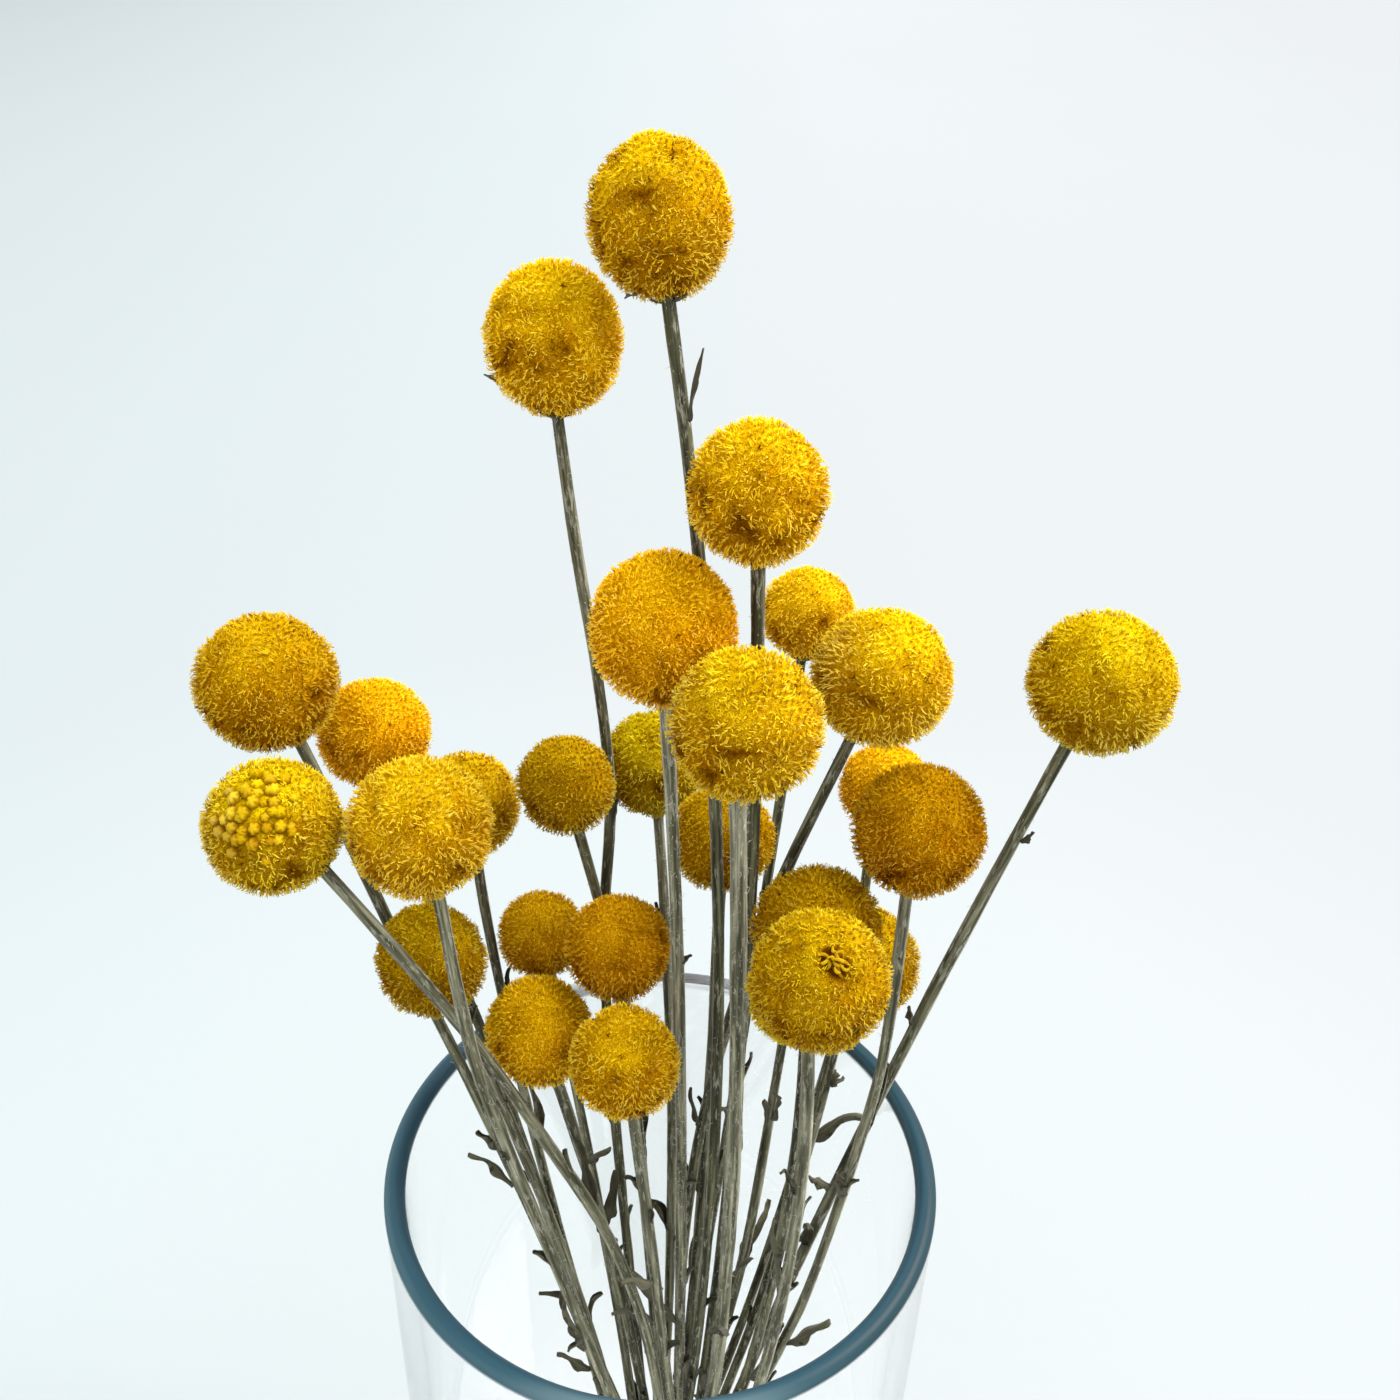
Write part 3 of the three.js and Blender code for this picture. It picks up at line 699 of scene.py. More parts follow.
def tufts(surface, number):
    """How far each place on a head stands out, about 0, in tufts of florets."""
    return (wobble(surface, 4.4, 10.0 * number) + 0.55 * wobble(surface, 2.0, 7.0 * number))


def age(out, surface, number):
    """How old the florets are at each place on a head, 0 to 1. The oldest are low down."""
    low = 0.72 - 0.75 * out[:, 2] - 0.1 * out[:, 0] - (YOUNGER if number in YOUNG else 0)
    return smoothstep(0.0, 0.9, low + 0.8 * wobble(surface, 6.0, 9.0 * number))


def leaning(normal, surface, number):
    """Which way each place's florets lean along a head, in mm. Neighbours lean alike."""
    field = np.column_stack([wobble(surface, 3.6, 5.0 * number + 31 * i) for i in range(3)])
    return LEAN * (YOUNG_LEAN if number in YOUNG else 1) * square_to(field, normal)


def own_sides(out, number):
    """How much longer and paler the florets are at each place, on a head with such sides."""
    longer, pale = np.zeros((2, len(out)))
    if number in STRANDS:
        direction, reach, length, share = STRANDS[number]
        zone = nearness(out, direction, reach)
        longer += zone * length
        pale += zone * share
    if number in FADED:
        direction, share = FADED[number]
        pale += nearness(out, direction, FADED_REACH) * share
    return longer, pale


def pick(florets, chosen):
    """Only the chosen ones of the florets."""
    return {key: value[chosen] for key, value in florets.items()}


def place_florets(form, number, rng):
    """Where a head's florets stand, which way each faces, and their looks. All arrays."""
    half, axes = form["half"], form["axes"]
    area = 4 * math.pi * half.mean() ** 2
    count = round(area / (math.sqrt(0.75) * SPACING**2))
    ways = spiral(count, -math.cos(NECK_BARE))
    ways = unit(ways + rng.normal(0, SCATTER * SPACING / half.mean(), ways.shape))
    out = ways @ axes.T
    normal = unit((ways / half) @ axes.T)
    surface = (ways * half) @ axes.T
    clump = tufts(surface, number)
    longer, pale = own_sides(out, number)
    lift = LUMP * clump - 0.3 * rng.random(count)
    old = age(out, surface, number)
    sunk = smoothstep(-0.2, -0.45, clump) * (0.25 + 0.75 * old)
    # a floret's tone: painted light on tufts that stand out, painted shade in dips and on sunk
    # florets, a little darker where old, and random
    tone = 0.66 + 0.35 * clump - 0.12 * old - 0.38 * sunk
    tone += rng.uniform(-0.27, 0.27, count) * (0.6 + 0.4 * old)
    speck = rng.random(count) < SPECKS
    tone[speck] = -0.4
    longer -= 0.5 * sunk + 0.4 * speck
    return {"out": out, "normal": normal, "place": surface + normal * lift[:, None],
            "longer": longer, "pale": pale, "old": old, "tone": tone,
            "lean": leaning(normal, surface, number)}


def spread(florets, strokes, rng):
    """For so many strokes to each floret: the ways out from its middle and across."""
    normal = florets["normal"]
    count = len(normal)
    first = unit(np.cross(normal, rng.normal(size=(count, 3))))
    second = np.cross(normal, first)
    turn = all_round(strokes) + rng.normal(0, 0.5, (count, strokes))
    aside = turned(first[:, None], second[:, None], turn[..., None])
    return aside, np.cross(normal[:, None], aside)


def stroke_looks(florets, rise, strokes, rng):
    """Each corner's rise, tone and paleness. Tips go pale on old florets."""
    shape = (len(florets["tone"]), strokes)
    tone = np.clip(florets["tone"][:, None] + rng.uniform(-0.2, 0.2, shape), 0, 1)
    curled = rng.random(shape) < 0.55 * florets["old"][:, None]
    pale = florets["pale"][:, None] * rng.uniform(0.4, 1.2, shape)
    pale += curled * rng.uniform(0.1, 0.6, shape)
    pale = np.clip(pale + rng.uniform(0, 0.12, shape), 0, 1)
    tone, pale = tone[..., None], pale[..., None]
    return side_by_side((*shape, len(rise)), rise, tone, pale * rise)


def add_florets(parts, form, florets, rng):
    """Florets all over the head: young ones stand up like bristles, old ones have curled lobes."""
    old = florets["old"] + rng.uniform(-0.35, 0.35, len(florets["old"])) > 0.5
    add_bristles(parts, form, pick(florets, ~old), BRISTLES, rng)
    add_bristles(parts, form, pick(florets, old), 1, rng)
    add_curls(parts, form, pick(florets, old), rng)


def add_curls(parts, form, florets, rng):
    """Long lobes that leave their florets sideways and curl over."""
    up, top, lean = (florets[key][:, None] for key in ("normal", "place", "lean"))
    longer = florets["longer"][:, None, None]
    aside, across = spread(florets, CURLS, rng)
    shape = (len(top), CURLS, 1)
    width = CURL_WIDTH * rng.uniform(0.8, 1.2, shape)
    reach = rng.uniform(*CURL_REACH, shape)
    bend = rng.choice([-1, 1], shape) * rng.uniform(*CURL_BEND, shape) * reach
    height = rng.uniform(-0.1, 0.3, shape) + longer
    root = top - up * TUBE + aside * 0.1
    low = top - up * (0.45 - 0.5 * longer) + aside * reach * 0.2
    high = top + up * height + aside * reach * 0.65 + across * bend * 0.3 + lean * 0.5
    tip = (top + up * (height + rng.uniform(-0.4, 0.15, shape)) + aside * reach
           + across * bend + lean * 0.65)
    corners = [root, *three_round(low, aside * width, across * width * 0.87),
               *three_round(high, up * width * 0.8, across * width * 0.7), tip]
    looks = stroke_looks(florets, CURL_RISE, CURLS, rng)
    parts.add(np.stack(corners, axis=2) + form["centre"], CURL, looks, smooth=False)


def add_bristles(parts, form, florets, strokes, rng):
    """Thin lobes that stand up from each floret's root and spread towards their tips."""
    up, top, lean = (florets[key][:, None] for key in ("normal", "place", "lean"))
    longer = florets["longer"][:, None, None]
    aside, across = spread(florets, strokes, rng)
    shape = (len(top), strokes, 1)
    width = BRISTLE_WIDTH / 2 * rng.uniform(0.75, 1.25, shape)
    reach = rng.uniform(*BRISTLE_REACH, shape)
    root = top - up * TUBE + aside * 0.1
    belly = (top - up * (rng.uniform(0.35, 0.65, shape) - 0.5 * longer) + aside * reach * 0.35
             + lean * 0.25)
    tip = (top + up * (rng.uniform(-0.3, 0.3, shape) + longer) + aside * reach
           + across * rng.normal(0, 0.25, shape) + lean)
    sides = three_round(belly, aside * width * BRISTLE_FLATNESS, across * width)
    corners = np.stack([root, *sides, tip], axis=2)
    looks = stroke_looks(florets, BRISTLE_RISE, strokes, rng)
    parts.add(corners + form["centre"], BRISTLE, looks, smooth=False)


def add_buds(parts, form, number, rng):
    """Round closed buds where a head hasn't opened yet."""
    points, triangles = ball(3)
    half, axes = form["half"], form["axes"]
    ways = spiral(round(4 * math.pi * half.mean() ** 2 / (0.87 * BUD_SPACING**2)), -1)
    ways = unit(ways + rng.normal(0, 0.04, ways.shape))
    near = nearness(ways @ axes.T, BUDDED[number], BUD_REACH)
    ways = ways[near > rng.uniform(0.1, 0.6, len(ways))]
    normal = unit((ways / half) @ axes.T)[:, None]
    size = BUD_SPACING * rng.uniform(*BUD_SIZE, (len(ways), 1, 1))
    rise = (points[None] * normal).sum(2, keepdims=True)
    first = unit(np.cross(normal, [0.3, 0.2, 0.9]))
    second = np.cross(normal, first)
    turn = np.arctan2((points[None] * second).sum(2), (points[None] * first).sum(2))
    lobes = np.abs(np.sin(2.5 * turn + rng.uniform(0, 6, (len(ways), 1))))[..., None] ** 0.5
    folds = 2 * (lobes - 1) * np.maximum(rise, 0) * np.sqrt(1 - rise**2)
    uneven = 1 + BUD_FOLDS * folds + rng.normal(0, 0.03, (len(ways), len(points), 1))
    # bud tops get lighter colours, their folds and bases darker ones: painted shade in the creases
    # and where they meet the head
    top = smoothstep(0.1, 1.0, rise[..., 0] + 0.4 * folds[..., 0])
    tone = rng.uniform(0.12, 0.4, (len(ways), 1))
    faded = rng.uniform(0.0, 0.1, (len(ways), 1)) + 0.55 * smoothstep(-0.1, -0.6, normal[..., 0])
    looks = side_by_side(top.shape, 0.05 + 0.6 * top, tone, faded * top)
    middle = ((ways * half) @ axes.T)[:, None] - normal * rng.uniform(0.8, 1.2, size.shape)
    stretch = 1 + rng.uniform(-0.2, 0.2, (len(ways), 1, 3))
    shape = points[None] * uneven * size * stretch
    parts.add(shape + middle + form["centre"], triangles, looks, smooth=False)


def add_loose_tubes(parts, form, florets, rng):
    """Bare floret tubes that have fallen over where others have gone."""
    chosen = rng.permutation(len(florets["tone"]))[:LOOSE_TUBES]
    middle = florets["place"].mean(0)
    angle = all_round(TUBE_SIDES)[:, None]
    radius, rise, pale = np.array(TUBE_ROWS).T
    share = np.linspace(-0.5, 0.5, len(radius))[:, None]
    for index in chosen:
        normal = florets["normal"][index]
        along_it = unit(np.cross(normal, rng.normal(size=3)))
        aside = np.cross(normal, along_it)
        length = rng.uniform(*TUBE_LENGTH)
        centre = 0.9 * florets["place"][index] + 0.1 * middle - normal * rng.uniform(0.3, 1.2)
        line = (centre + along_it * share * length + normal * (0.5 - 2.2 * share**2) * 0.5
                + aside * share**2 * rng.uniform(-4, 4))
        rings = line[:, None] + turned(normal, aside, angle) * radius[:, None, None]
        looks = side_by_side(rings.shape[:2], rise[:, None], rng.uniform(0.15, 0.45), pale[:, None])
        parts.add_tube(rings + form["centre"], looks, smooth=False)


def ball(levels):
    """The corners and triangles of a ball made by splitting an icosahedron."""
    made = bmesh.new()
    bmesh.ops.create_icosphere(made, subdivisions=levels, radius=1)
    points = np.array([v.co[:] for v in made.verts])
    triangles = np.array([[v.index for v in f.verts] for f in made.faces])
    made.free()
    return points, triangles


def add_core(parts, form, number, core):
    """The ball that the florets stand on, painted darker than them as shade between the florets,
    with a pit where some have fallen out, painted darker still as shade.
    """
    points, triangles = core
    surface = (points * form["half"]) @ form["axes"].T
    clump = tufts(surface, number)
    pit = np.zeros(len(points))
    if number in HOLED:
        pit = nearness(points @ form["axes"].T, HOLED[number], PIT_REACH)
    depth = CORE_DEPTH - LUMP * np.minimum(clump, 0.3) + PIT_DEPTH * pit
    places = surface - unit(surface) * depth[:, None] + form["centre"]
    old = age(points @ form["axes"].T, surface, number)
    # the core's low rise and dark tone are painted shade between the florets, darkest in the pit
    rise = (0.2 - 0.1 * old) * (1 - np.minimum(2 * pit, 1)) - 1
    tone = np.clip(0.4 + 0.4 * clump - 0.2 * old - PIT_SHADE * pit, 0, 1)
    parts.add(places, triangles, side_by_side(pit.shape, rise, tone, 0))


def build_head(form, number, core, material, rng):
    """One flower head as a piece."""
    parts = Parts()
    add_core(parts, form, number, core)
    florets = place_florets(form, number, rng)
    out = florets["out"]
    open_ones = np.ones(len(out), bool)
    if number in BUDDED:
        add_buds(parts, form, number, rng)
        near = nearness(out, BUDDED[number], BUD_REACH)
        florets["longer"] -= 0.35 * smoothstep(0.1, 0.5, near)
        open_ones &= near < rng.uniform(0.3, 0.9, len(out))
    if number in HOLED:
        fallen = nearness(out, HOLED[number], HOLE_REACH) > 0.1
        add_loose_tubes(parts, form, pick(florets, fallen), rng)
        open_ones &= ~fallen
    add_florets(parts, form, pick(florets, open_ones), rng)
    own = [value_for(number, table) for table in (HEAD_PAINTED_LIGHT, HEAD_GREENNESS)]
    return parts.piece(f"florets_{number:02d}", form["centre"], [material], own)


# ---- Stems ----


def stem_line(name, head):
    """The shaft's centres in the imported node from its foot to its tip, and its radius."""
    points, triangles = node_points(name)
    levels, counts = np.unique(points[:, 2], return_counts=True)
    rings = [points[points[:, 2] == level] for level in levels[counts == 6]]
    centres = [ring.mean(0) for ring in rings]
    radius = np.median([np.linalg.norm(r - c, axis=1).min() for r, c in zip(rings, centres)])
    tip = points[np.linalg.norm(points - head["centre"], axis=1).argmin()]
    return np.array([*centres, tip]), radius, points, triangles


def build_shaft(parts, knots, radius, rng):
    """A ribbed shaft along the knots. Returns its centres and directions, for what grows on it."""
    steps = round(lengths(knots).sum() / SHAFT_STEP)
    centre = along(knots, steps)
    ahead = unit(np.gradient(centre, axis=0))
    first = unit(np.cross(ahead, [0.0, 1.0, 0.0]))
    second = np.cross(ahead, first)
    run = np.concatenate([[0], np.cumsum(lengths(centre))])[:, None]
    angle = all_round(SHAFT_SIDES)
    rib = 1 + RIB * np.where(np.arange(SHAFT_SIDES) % 2, -1.0, 1.0)
    swell = 1 + SWELL * np.sin(run / rng.uniform(9, 15) + rng.uniform(0, 6))
    reach = radius * (rib * swell + rng.normal(0, UNEVEN, (steps, SHAFT_SIDES)))
    out = turned(first[:, None], second[:, None], angle[:, None])
    points = centre[:, None] + reach[..., None] * out
    points[0, :, 2] = knots[0][2]
    straight = side_by_side(points.shape[:2], radius * np.cos(angle), radius * np.sin(angle),
                            run + rng.uniform(0, 900))
    parts.add_tube(points, straight * MM)
    return centre, first, second, ahead


def add_hairs(parts, line, radius, count, rng):
    """Stray felt hairs along the shaft, each a thin closed spike. Most are up near the head."""
    centre, first, second, ahead = line
    last = len(centre) - 3
    where = np.minimum((1 + (last - 1) * rng.random(count) ** 0.7).astype(int), last)
    share = rng.random((count, 1))
    root = centre[where] * (1 - share) + centre[where + 1] * share
    out = turned(first[where], second[where], rng.uniform(0, 2 * math.pi, (count, 1)))
    side = np.cross(ahead[where], out)
    root = root + out * radius * 0.9
    lean = rng.uniform(-1, 1, (count, 1))
    way = unit(out * rng.uniform(0.2, 0.8, (count, 1)) + ahead[where] * lean
               + side * rng.normal(0, 0.5, (count, 1)))
    tip = root + way * rng.uniform(*HAIR_LENGTH, (count, 1))
    low = unit(np.cross(way, out + 0.01))
    foot = three_round(root, low * HAIR_WIDTH, np.cross(way, low) * HAIR_WIDTH)
    parts.add(np.stack([*foot, tip], axis=1), SPIKE, np.zeros(3), slot=2)


# ---- Leaves ----


def neighbours(points, triangles):
    """For each corner, the corners that it shares an edge with."""
    edges = np.concatenate([triangles[:, [0, 1]], triangles[:, [1, 2]], triangles[:, [2, 0]]])
    near = [set() for _ in points]
    for a, b in np.unique(np.sort(edges, axis=1), axis=0):
        near[a].add(b)
        near[b].add(a)
    return near


def take_group(loose, near):
    """Takes a group of corners that hang together out of loose."""
    group, front = set(), [next(iter(loose))]
    while front:
        at = front.pop()
        if at in loose:
            loose.discard(at)
            group.add(at)
            front.extend(near[at])
    return group


def read_leaf(group, near, points):
    """A packed leaf's root on the shaft, its rings of four from there on, and its tip."""
    border = [points[v] for v in group if near[v] - group]
    ends = [v for v in group if len(near[v]) == 4 and near[v] <= group]
    if not ends or not border:
        return None
    start = np.mean(border, axis=0)
    tip = max(ends, key=lambda v: np.linalg.norm(points[v] - start))
    rings, ring, done = [], {tip}, {tip}
    while True:
        ring = {n for v in ring for n in near[v]} - done
        if len(ring) != 4 or not ring <= group:
            break
        done |= ring
        rings.append(points[sorted(ring)])
    base = [points[n] for v in group for n in near[v] if n not in group]
    return (np.mean(base, axis=0), rings[::-1], points[tip]) if rings else None


def packed_leaves(points, triangles, knots, radius):
    """Every leaf of a packed stem."""
    near = neighbours(points, triangles)
    centre = np.column_stack([np.interp(points[:, 2], knots[:, 2], knots[:, i]) for i in range(3)])
    off = np.linalg.norm((points - centre)[:, :2], axis=1)
    loose = set(np.flatnonzero(off > radius * LEAF_STARTS))
    leaves = []
    while loose:
        leaves.append(read_leaf(take_group(loose, near), near, points))
    return [leaf for leaf in leaves if leaf]


def ring_frame(ring):
    """A rhombus's centre and its two half diagonals, the longer first."""
    pairs = [((0, 1), (2, 3)), ((0, 2), (1, 3)), ((0, 3), (1, 2))]
    crossing = min(pairs, key=lambda pair: np.linalg.norm(
        ring[list(pair[0])].mean(0) - ring[list(pair[1])].mean(0)))
    halves = sorted([(ring[a] - ring[b]) / 2 for a, b in crossing], key=np.linalg.norm)
    return ring.mean(0), halves[1], halves[0]


def build_leaf(parts, leaf, rng):
    """A dried blade along a packed leaf: folded along its rib, with rolled and waved edges."""
    root, rings, tip = leaf
    frames = [ring_frame(ring) for ring in rings]
    for i in range(1, len(frames)):
        if frames[i][1] @ frames[i - 1][1] < 0:
            frames[i] = (frames[i][0], -frames[i][1], frames[i][2])
    centres = np.array([root, *[f[0] for f in frames], tip])
    wide = [frames[0][1] * 0.55, *[f[1] for f in frames], frames[-1][1] * 0.6]
    spine = along(centres, LEAF_STATIONS)
    half = along(np.array(wide), LEAF_STATIONS)
    low = root[2] < HIGH
    spine = shrivelled(spine, half, 1.0 if low else 0.5, rng)
    if low:
        spine += STRAIGHTER * (upright(spine) - spine)
        spine = spine[0] + LEAF_LENGTH * (spine - spine[0])
    else:
        spine[:, :2] += STRAIGHTER * (spine[0, :2] - spine[:, :2])
    add_blade(parts, spine, half * (LEAF_WIDTH if low else HIGH_WIDTH), rng,
              fold=rng.uniform(0.25, 0.7), roll=rng.uniform(0.1, 0.8), wave=0.35,
              back=1 if low else 0.2)


def upright(spine):
    """A straight spine of the same length that stands closer to its shaft."""
    length = lengths(spine).sum()
    way = unit(spine[-1] - spine[0] + [0.0, 0.0, 0.8 * length])
    return spine[0] + np.linspace(0, length, len(spine))[:, None] * way


def shrivelled(spine, half, much, rng):
    """The spine of a blade with its outer part rolled up and all of it waved."""
    length = lengths(spine)[:, None]
    ahead = np.diff(spine, axis=0) / length
    across = unit(square_to(half[1:], ahead))
    run = np.linspace(0, 1, len(length))[:, None]
    bend = rng.choice([-1, 1]) * rng.uniform(0.1, 1.0)
    turn = much * (bend * run**2.5 + 0.4 * np.sin(8 * run + rng.uniform(0, 6)) * run)
    sway = rng.uniform(-0.5, 0.5) * run + 0.35 * np.sin(7 * run + rng.uniform(0, 6))
    ways = unit(turned(ahead, np.cross(ahead, across), turn) + across * sway * much)
    return walk(spine[0], ways * length)


def add_blade(parts, spine, half, rng, fold, roll, wave, thickness=LEAF_THICKNESS, back=1):
    """A thin dried blade along spine. half points across it, from its middle to its edge.
    back is how much its back looks like one."""
    stations = len(spine)
    ahead = unit(np.gradient(spine, axis=0))
    span = np.linalg.norm(half, axis=1, keepdims=True)
    across = unit(square_to(half, ahead))
    thick = np.cross(ahead, across)
    shares = np.array([-1.0, -0.6, 0.0, 0.6, 1.0])
    start = rng.uniform(0, 6)
    run = np.linspace(0, 1, stations)
    torn = 1 - 0.35 * rng.random((stations, 2)) ** 2
    rows = []
    for share in shares:
        edge = abs(share)
        ragged = torn[:, 0 if share < 0 else 1] if edge == 1 else np.ones(stations)
        rolled = roll * max(edge - 0.6, 0)
        lift = edge * (fold + wave * np.sin(11 * run + start + 2.5 * share)) + 1.8 * rolled
        sideways = share * (1 - 1.4 * rolled) * ragged
        rows.append(spine + across * span * sideways[:, None] + thick * span * lift[:, None])
    upper = np.stack(rows, axis=1)
    lower = upper[:, ::-1] - thick[:, None] * thickness
    points = np.concatenate([lower, upper], axis=1)
    blade_back = np.repeat([back, 0.0], len(shares))
    looks = side_by_side(points.shape[:2], [*shares[::-1], *shares], run[:, None], blade_back)
    parts.add_tube(points, looks, slot=1)


def add_scrap(parts, line, at, radius, length, rng):
    """A small dried strap that grows from the shaft, lies along it and may curl off it."""
    centre, first, second, ahead = line
    out = turned(first[at], second[at], rng.uniform(0, 2 * math.pi))
    side = np.cross(ahead[at], out)
    run = np.linspace(0, 1, SCRAP_STEPS)[:, None]
    bend = rng.uniform(0.8, 2.2) if rng.random() < HOOKED else rng.uniform(-0.3, 0.6)
    angle = rng.uniform(0.03, 0.18) + run**2.5 * bend
    ways = turned(ahead[at], out, angle) + rng.uniform(-0.35, 0.35) * run * side
    spine = walk(centre[at] + out * radius * 0.6, ways[1:] * length / SCRAP_STEPS)
    twist = rng.uniform(-1.8, 1.8) * run
    breadth = np.sin(math.pi * (0.2 + 0.62 * run**0.9))
    breadth *= rng.uniform(0.05, 0.10) * length + 0.45
    add_blade(parts, spine, turned(side, out, twist) * breadth, rng, fold=0.35,
              roll=rng.uniform(0.3, 0.9), wave=0.22, thickness=0.2)


def add_bract(parts, form, start, end, width, lift):
    """A small scale over the head from one direction to another. Its tip stands off by lift."""
    share = np.linspace(0, 1, BRACT_STEPS)[:, None]
    ways = unit(unit(start) * (1 - share) + unit(end) * share)
    surface = ((ways @ form["axes"]) * form["half"]) @ form["axes"].T
    spine = form["centre"] + surface + ways * lift * share**2
    side = unit(np.cross(start, end))
    breadth = width * np.sin(math.pi * (0.25 + 0.72 * share))
    add_blade(parts, spine, side * breadth, np.random.default_rng(1), fold=-0.15, roll=0.0,
              wave=0.1)


def add_bracts(parts, form, number, rng):
    """The scales under a head, and the one that stands off it."""
    first, second, up = form["axes"].T
    for turn in all_round(BRACTS) + rng.uniform(0, 6):
        aside = turned(first, second, turn)
        reach = rng.uniform(0.24, 0.34)
        add_bract(parts, form, 0.08 * aside - up, reach * aside - up, 1.3, -0.5)
    if number in SPURS:
        tip = unit(np.array(SPURS[number]))
        add_bract(parts, form, unit(tip - 0.22 * up), tip, 1.8, 1.4)


def build_stem(name, form, number, materials, rng):
    """One stem with its leaves, scraps, hairs and the scales under its head."""
    parts = Parts()
    knots, radius, points, triangles = stem_line(name, form)
    line = build_shaft(parts, knots, radius, rng)
    for leaf in packed_leaves(points, triangles, knots, radius):
        build_leaf(parts, leaf, rng)
    heights = line[0][:, 2]
    for low, high, shortest, longest in SCRAPS:
        at = np.abs(heights - rng.uniform(low, high)).argmin()
        if at < len(heights) - 6:
            add_scrap(parts, line, at, radius, rng.uniform(shortest, longest), rng)
    add_hairs(parts, line, radius, round(HAIRS * FUZZY.get(number, 1)), rng)
    add_bracts(parts, form, number, rng)
    lightness = STEM_LIGHTNESS.get(number, rng.uniform(0.2, 0.9))
    return parts.piece(f"leafy_{name}", np.zeros(3), materials, (lightness, 1))


# ---- Vase ----


def arc(centre, radius, start, end, steps):
    angle = np.linspace(start, end, steps + 1)
    return [(centre[0] + radius * math.cos(a), centre[1] + radius * math.sin(a)) for a in angle]


def vase_outline():
    """The vase's half outline from the base's centre, up outside, over the rim and back."""
    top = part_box("vase")[1] / MM
    radius, height = top.x, top.z
    rim = WALL / 2
    return [
        (0, 0),
        *[(radius - FOOT_ROUND - 8 * i, 0) for i in (3, 2, 1)],
        *arc((radius - FOOT_ROUND, FOOT_ROUND), FOOT_ROUND, -math.pi / 2, 0, 8),
        *[(radius, height * share) for share in (0.1, 0.25, 0.4, 0.55, 0.7, 0.85, 0.95)],
        (radius, height - RIM_DEPTH),
        *arc((radius - rim, height - rim), rim, 0, math.pi, 16),
        (radius - WALL, height - RIM_DEPTH),
        *[(radius - WALL, height * share) for share in (0.95, 0.85, 0.7, 0.55, 0.4, 0.25, 0.12)],
        *arc((radius - WALL - FLOOR_ROUND, VASE_FLOOR + FLOOR_ROUND), FLOOR_ROUND,
             0, -math.pi / 2, 8),
        *[(radius - WALL - FLOOR_ROUND - 10 * i, VASE_FLOOR) for i in (1, 2, 3)],
        (0, VASE_FLOOR),
    ]


def build_vase(materials):
    """The vase as one turned piece, with its rim in the second material."""
    outline = np.array(vase_outline())
    rings = len(outline) - 2
    turn = all_round(VASE_SEGMENTS)
    around = np.stack([np.cos(turn), np.sin(turn)], axis=1)
    middle = outline[1:-1]
    body = np.concatenate([
        middle[:, None, :1] * around[None],
        np.broadcast_to(middle[:, None, 1:], (rings, VASE_SEGMENTS, 1)),
    ], axis=2).reshape(-1, 3)
    ends = np.array([[0, 0, outline[0][1]], [0, 0, outline[-1][1]]])
    triangles = wall_triangles(rings, VASE_SEGMENTS)
    last = (rings - 1) * VASE_SEGMENTS
    for side in range(VASE_SEGMENTS):
        after = (side + 1) % VASE_SEGMENTS
        triangles += [(len(body), after, side), (len(body) + 1, last + side, last + after)]
    points, triangles = np.concatenate([body, ends]), np.array(triangles)
    on_rim = points[triangles, 2].min(1) > outline[:, 1].max() - RIM_DEPTH - 0.01
    parts = Parts()
    parts.add(points, triangles, np.zeros(3), slot=on_rim.astype(int))
    piece = parts.piece("glass_vase", np.zeros(3), materials)
    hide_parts("vase")


# ---- Stage ----


def make_camera():
    """The photo's camera: it looks down on the bunch and is rolled a little."""
    data = bpy.data.cameras.new("camera")
    data.lens = CAMERA_LENS
    data.sensor_width = CAMERA_LENS
    data.clip_start = 0.01
    data.clip_end = 100
    camera = put("camera", data)
    tilt = Matrix.Rotation(math.pi / 2 - CAMERA_DOWN, 4, "X")
    roll = Matrix.Rotation(CAMERA_ROLL, 4, "Z")
    camera.matrix_world = Matrix.Translation(Vector(CAMERA_AT) * MM) @ tilt @ roll
    bpy.context.scene.camera = camera


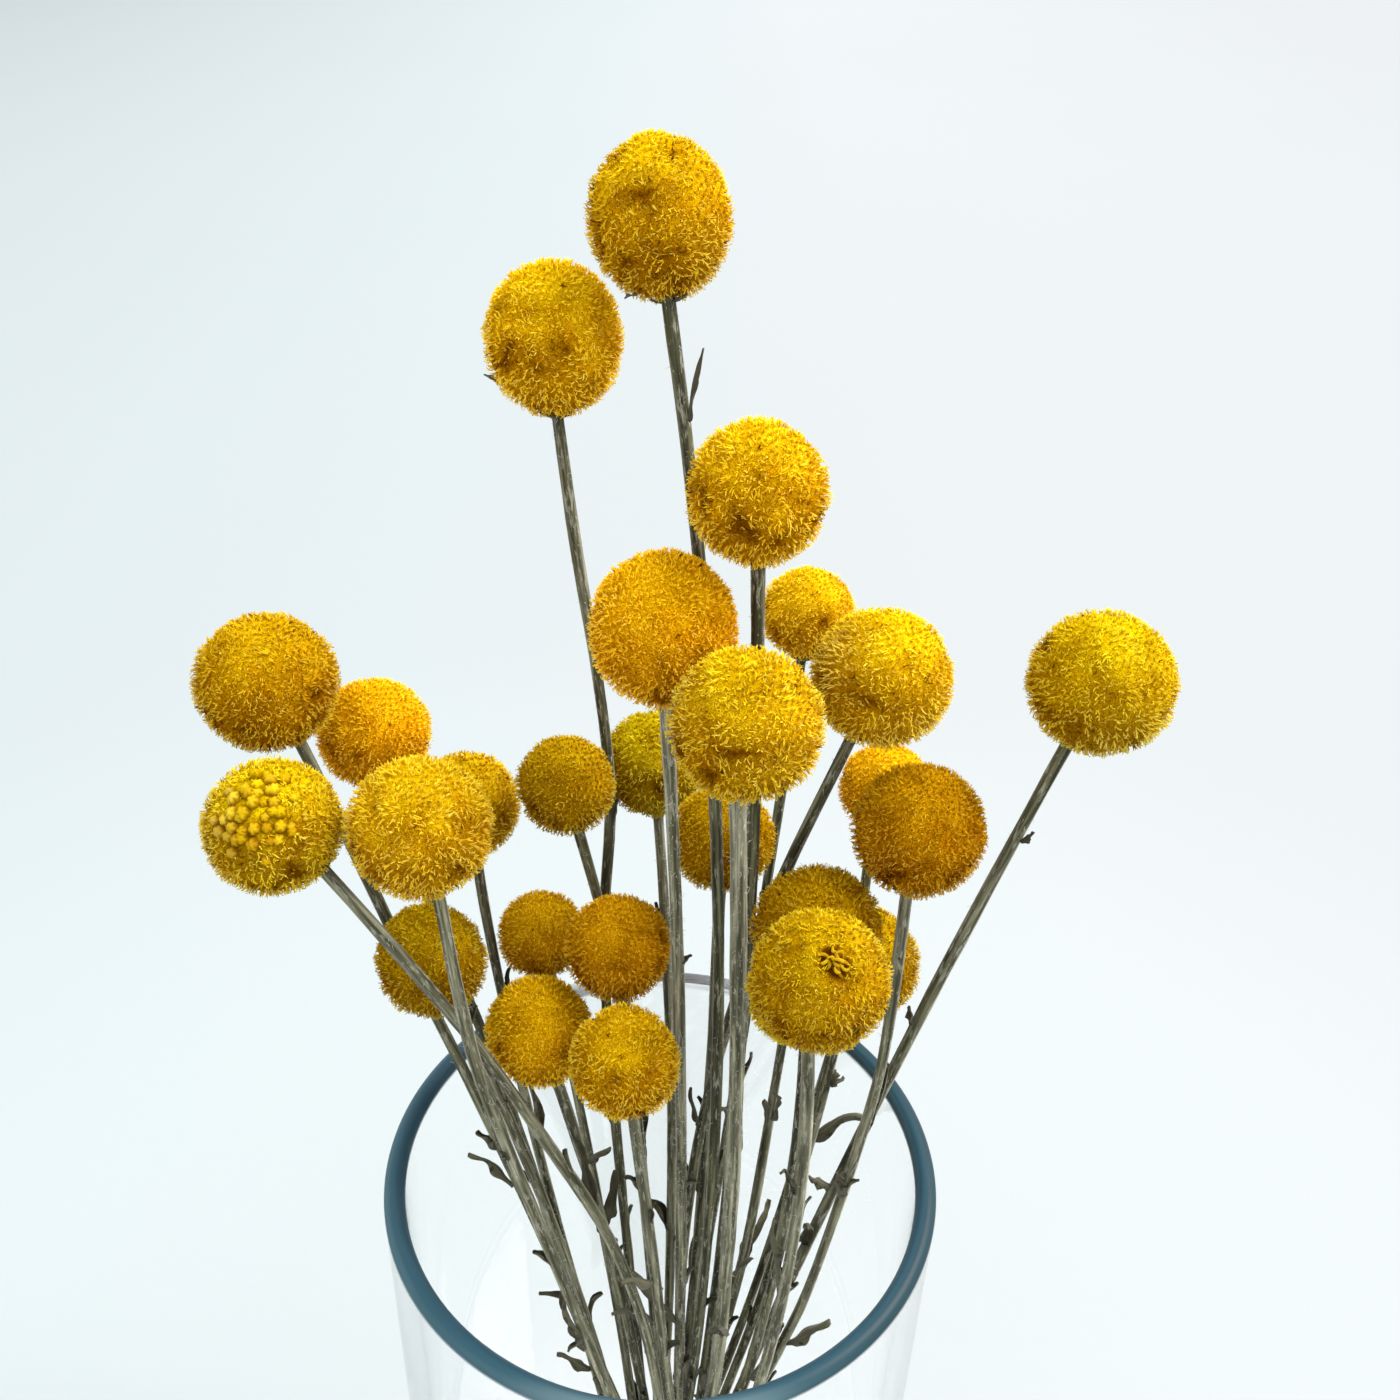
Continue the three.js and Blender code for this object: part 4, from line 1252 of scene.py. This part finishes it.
def floor_material():
    """A matt pale floor, a little uneven, with a painted pool of light: lighter to the right of the
    vase, near it and under it, and darker far off and to the left.
    """
    g = Graph(bpy.data.materials.new("floor"))
    place = g.place()
    x, y, _ = g.split(place)
    tone = g.ramp(g.plus(g.times(x, 0.25), 0.5), (0.0, 0.4, 0.55, 0.7, 1.0), FLOOR)
    reach = g.from_axis(x, y)
    near, far = g.tinted(tone, FLOOR_NEAR), g.tinted(tone, FLOOR_FAR)
    tone = g.mix(g.between(reach, 0.25, 0.65), near, far)
    tone = g.mix(g.between(reach, 0.05, 0.12, 1.0, 0.0), tone, FLOOR_UNDER)
    uneven = g.between(g.noise(place, 0.8, 2), 0.3, 0.7, 0.0, 0.2)
    return g.surface(g.add("BsdfPrincipled", {
        "Base Color": g.mix(uneven, tone, g.tinted(tone, FLOOR_UNEVEN)), "Roughness": 0.9,
        "Specular IOR Level": 0.1,
    }))


def make_floor():
    mesh = bpy.data.meshes.new("floor")
    corners = [(x * FLOOR_HALF, y * FLOOR_HALF, 0) for x, y in ((-1, -1), (1, -1), (1, 1), (-1, 1))]
    mesh.from_pydata(corners, [], [(0, 1, 2, 3)])
    mesh.materials.append(floor_material())
    floor = put("floor", mesh)


def make_light():
    """A bright even sky and a soft sun from the right."""
    scene = bpy.context.scene
    scene.world = bpy.data.worlds.new("studio")
    g = Graph(scene.world)
    sky = g.add("Background", {"Color": SKY, "Strength": SKY_STRENGTH})
    g.tree.links.new(sky.outputs[0], g.add("OutputWorld").inputs["Surface"])
    sun = bpy.data.lights.new("sun", "SUN")
    sun.energy = SUN_ENERGY
    sun.angle = SUN_WIDTH
    sun.color = SUN
    towards = Vector(SUN_TOWARDS).normalized()
    put("sun", sun).rotation_euler = towards.to_track_quat("Z", "Y").to_euler()
    scene.view_settings.view_transform = "Standard"
    scene.view_settings.look = "None"


# ---- The whole scene ----


def build_flower(number, slots, florets, stem_looks, core):
    """A head and its stem, in place of their nodes."""
    rng = np.random.default_rng(SEED * 100 + number)
    head_node, stem_node = f"head_{number:02d}", f"stem_{number:02d}"
    form = head_form(head_node)
    piece = build_head(form, number, core, florets[slots[head_node]], rng)
    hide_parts(head_node)
    piece = build_stem(stem_node, form, number, stem_looks, rng)
    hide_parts(stem_node)


def main():
    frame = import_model()
    nodes.update(frame["nodes"])
    slots = {part["node"]: part["material_slot"] for part in frame["record"]["subparts"]}
    make_camera()
    make_floor()
    make_light()
    florets = {slot: floret_material(slot) for slot in FLORET_COLOURS}
    stem_looks = [stem_material(), leaf_material(), hair_material()]
    core, fine_core = ball(3), ball(4)
    for number in range(1, FLOWERS + 1):
        stand = fine_core if number in HOLED else core
        build_flower(number, slots, florets, stem_looks, stand)
    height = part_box("vase")[1].z / MM
    build_vase([glass_material("glass", height, 0.3), glass_material("glass_rim", height, 0.1)])


main()
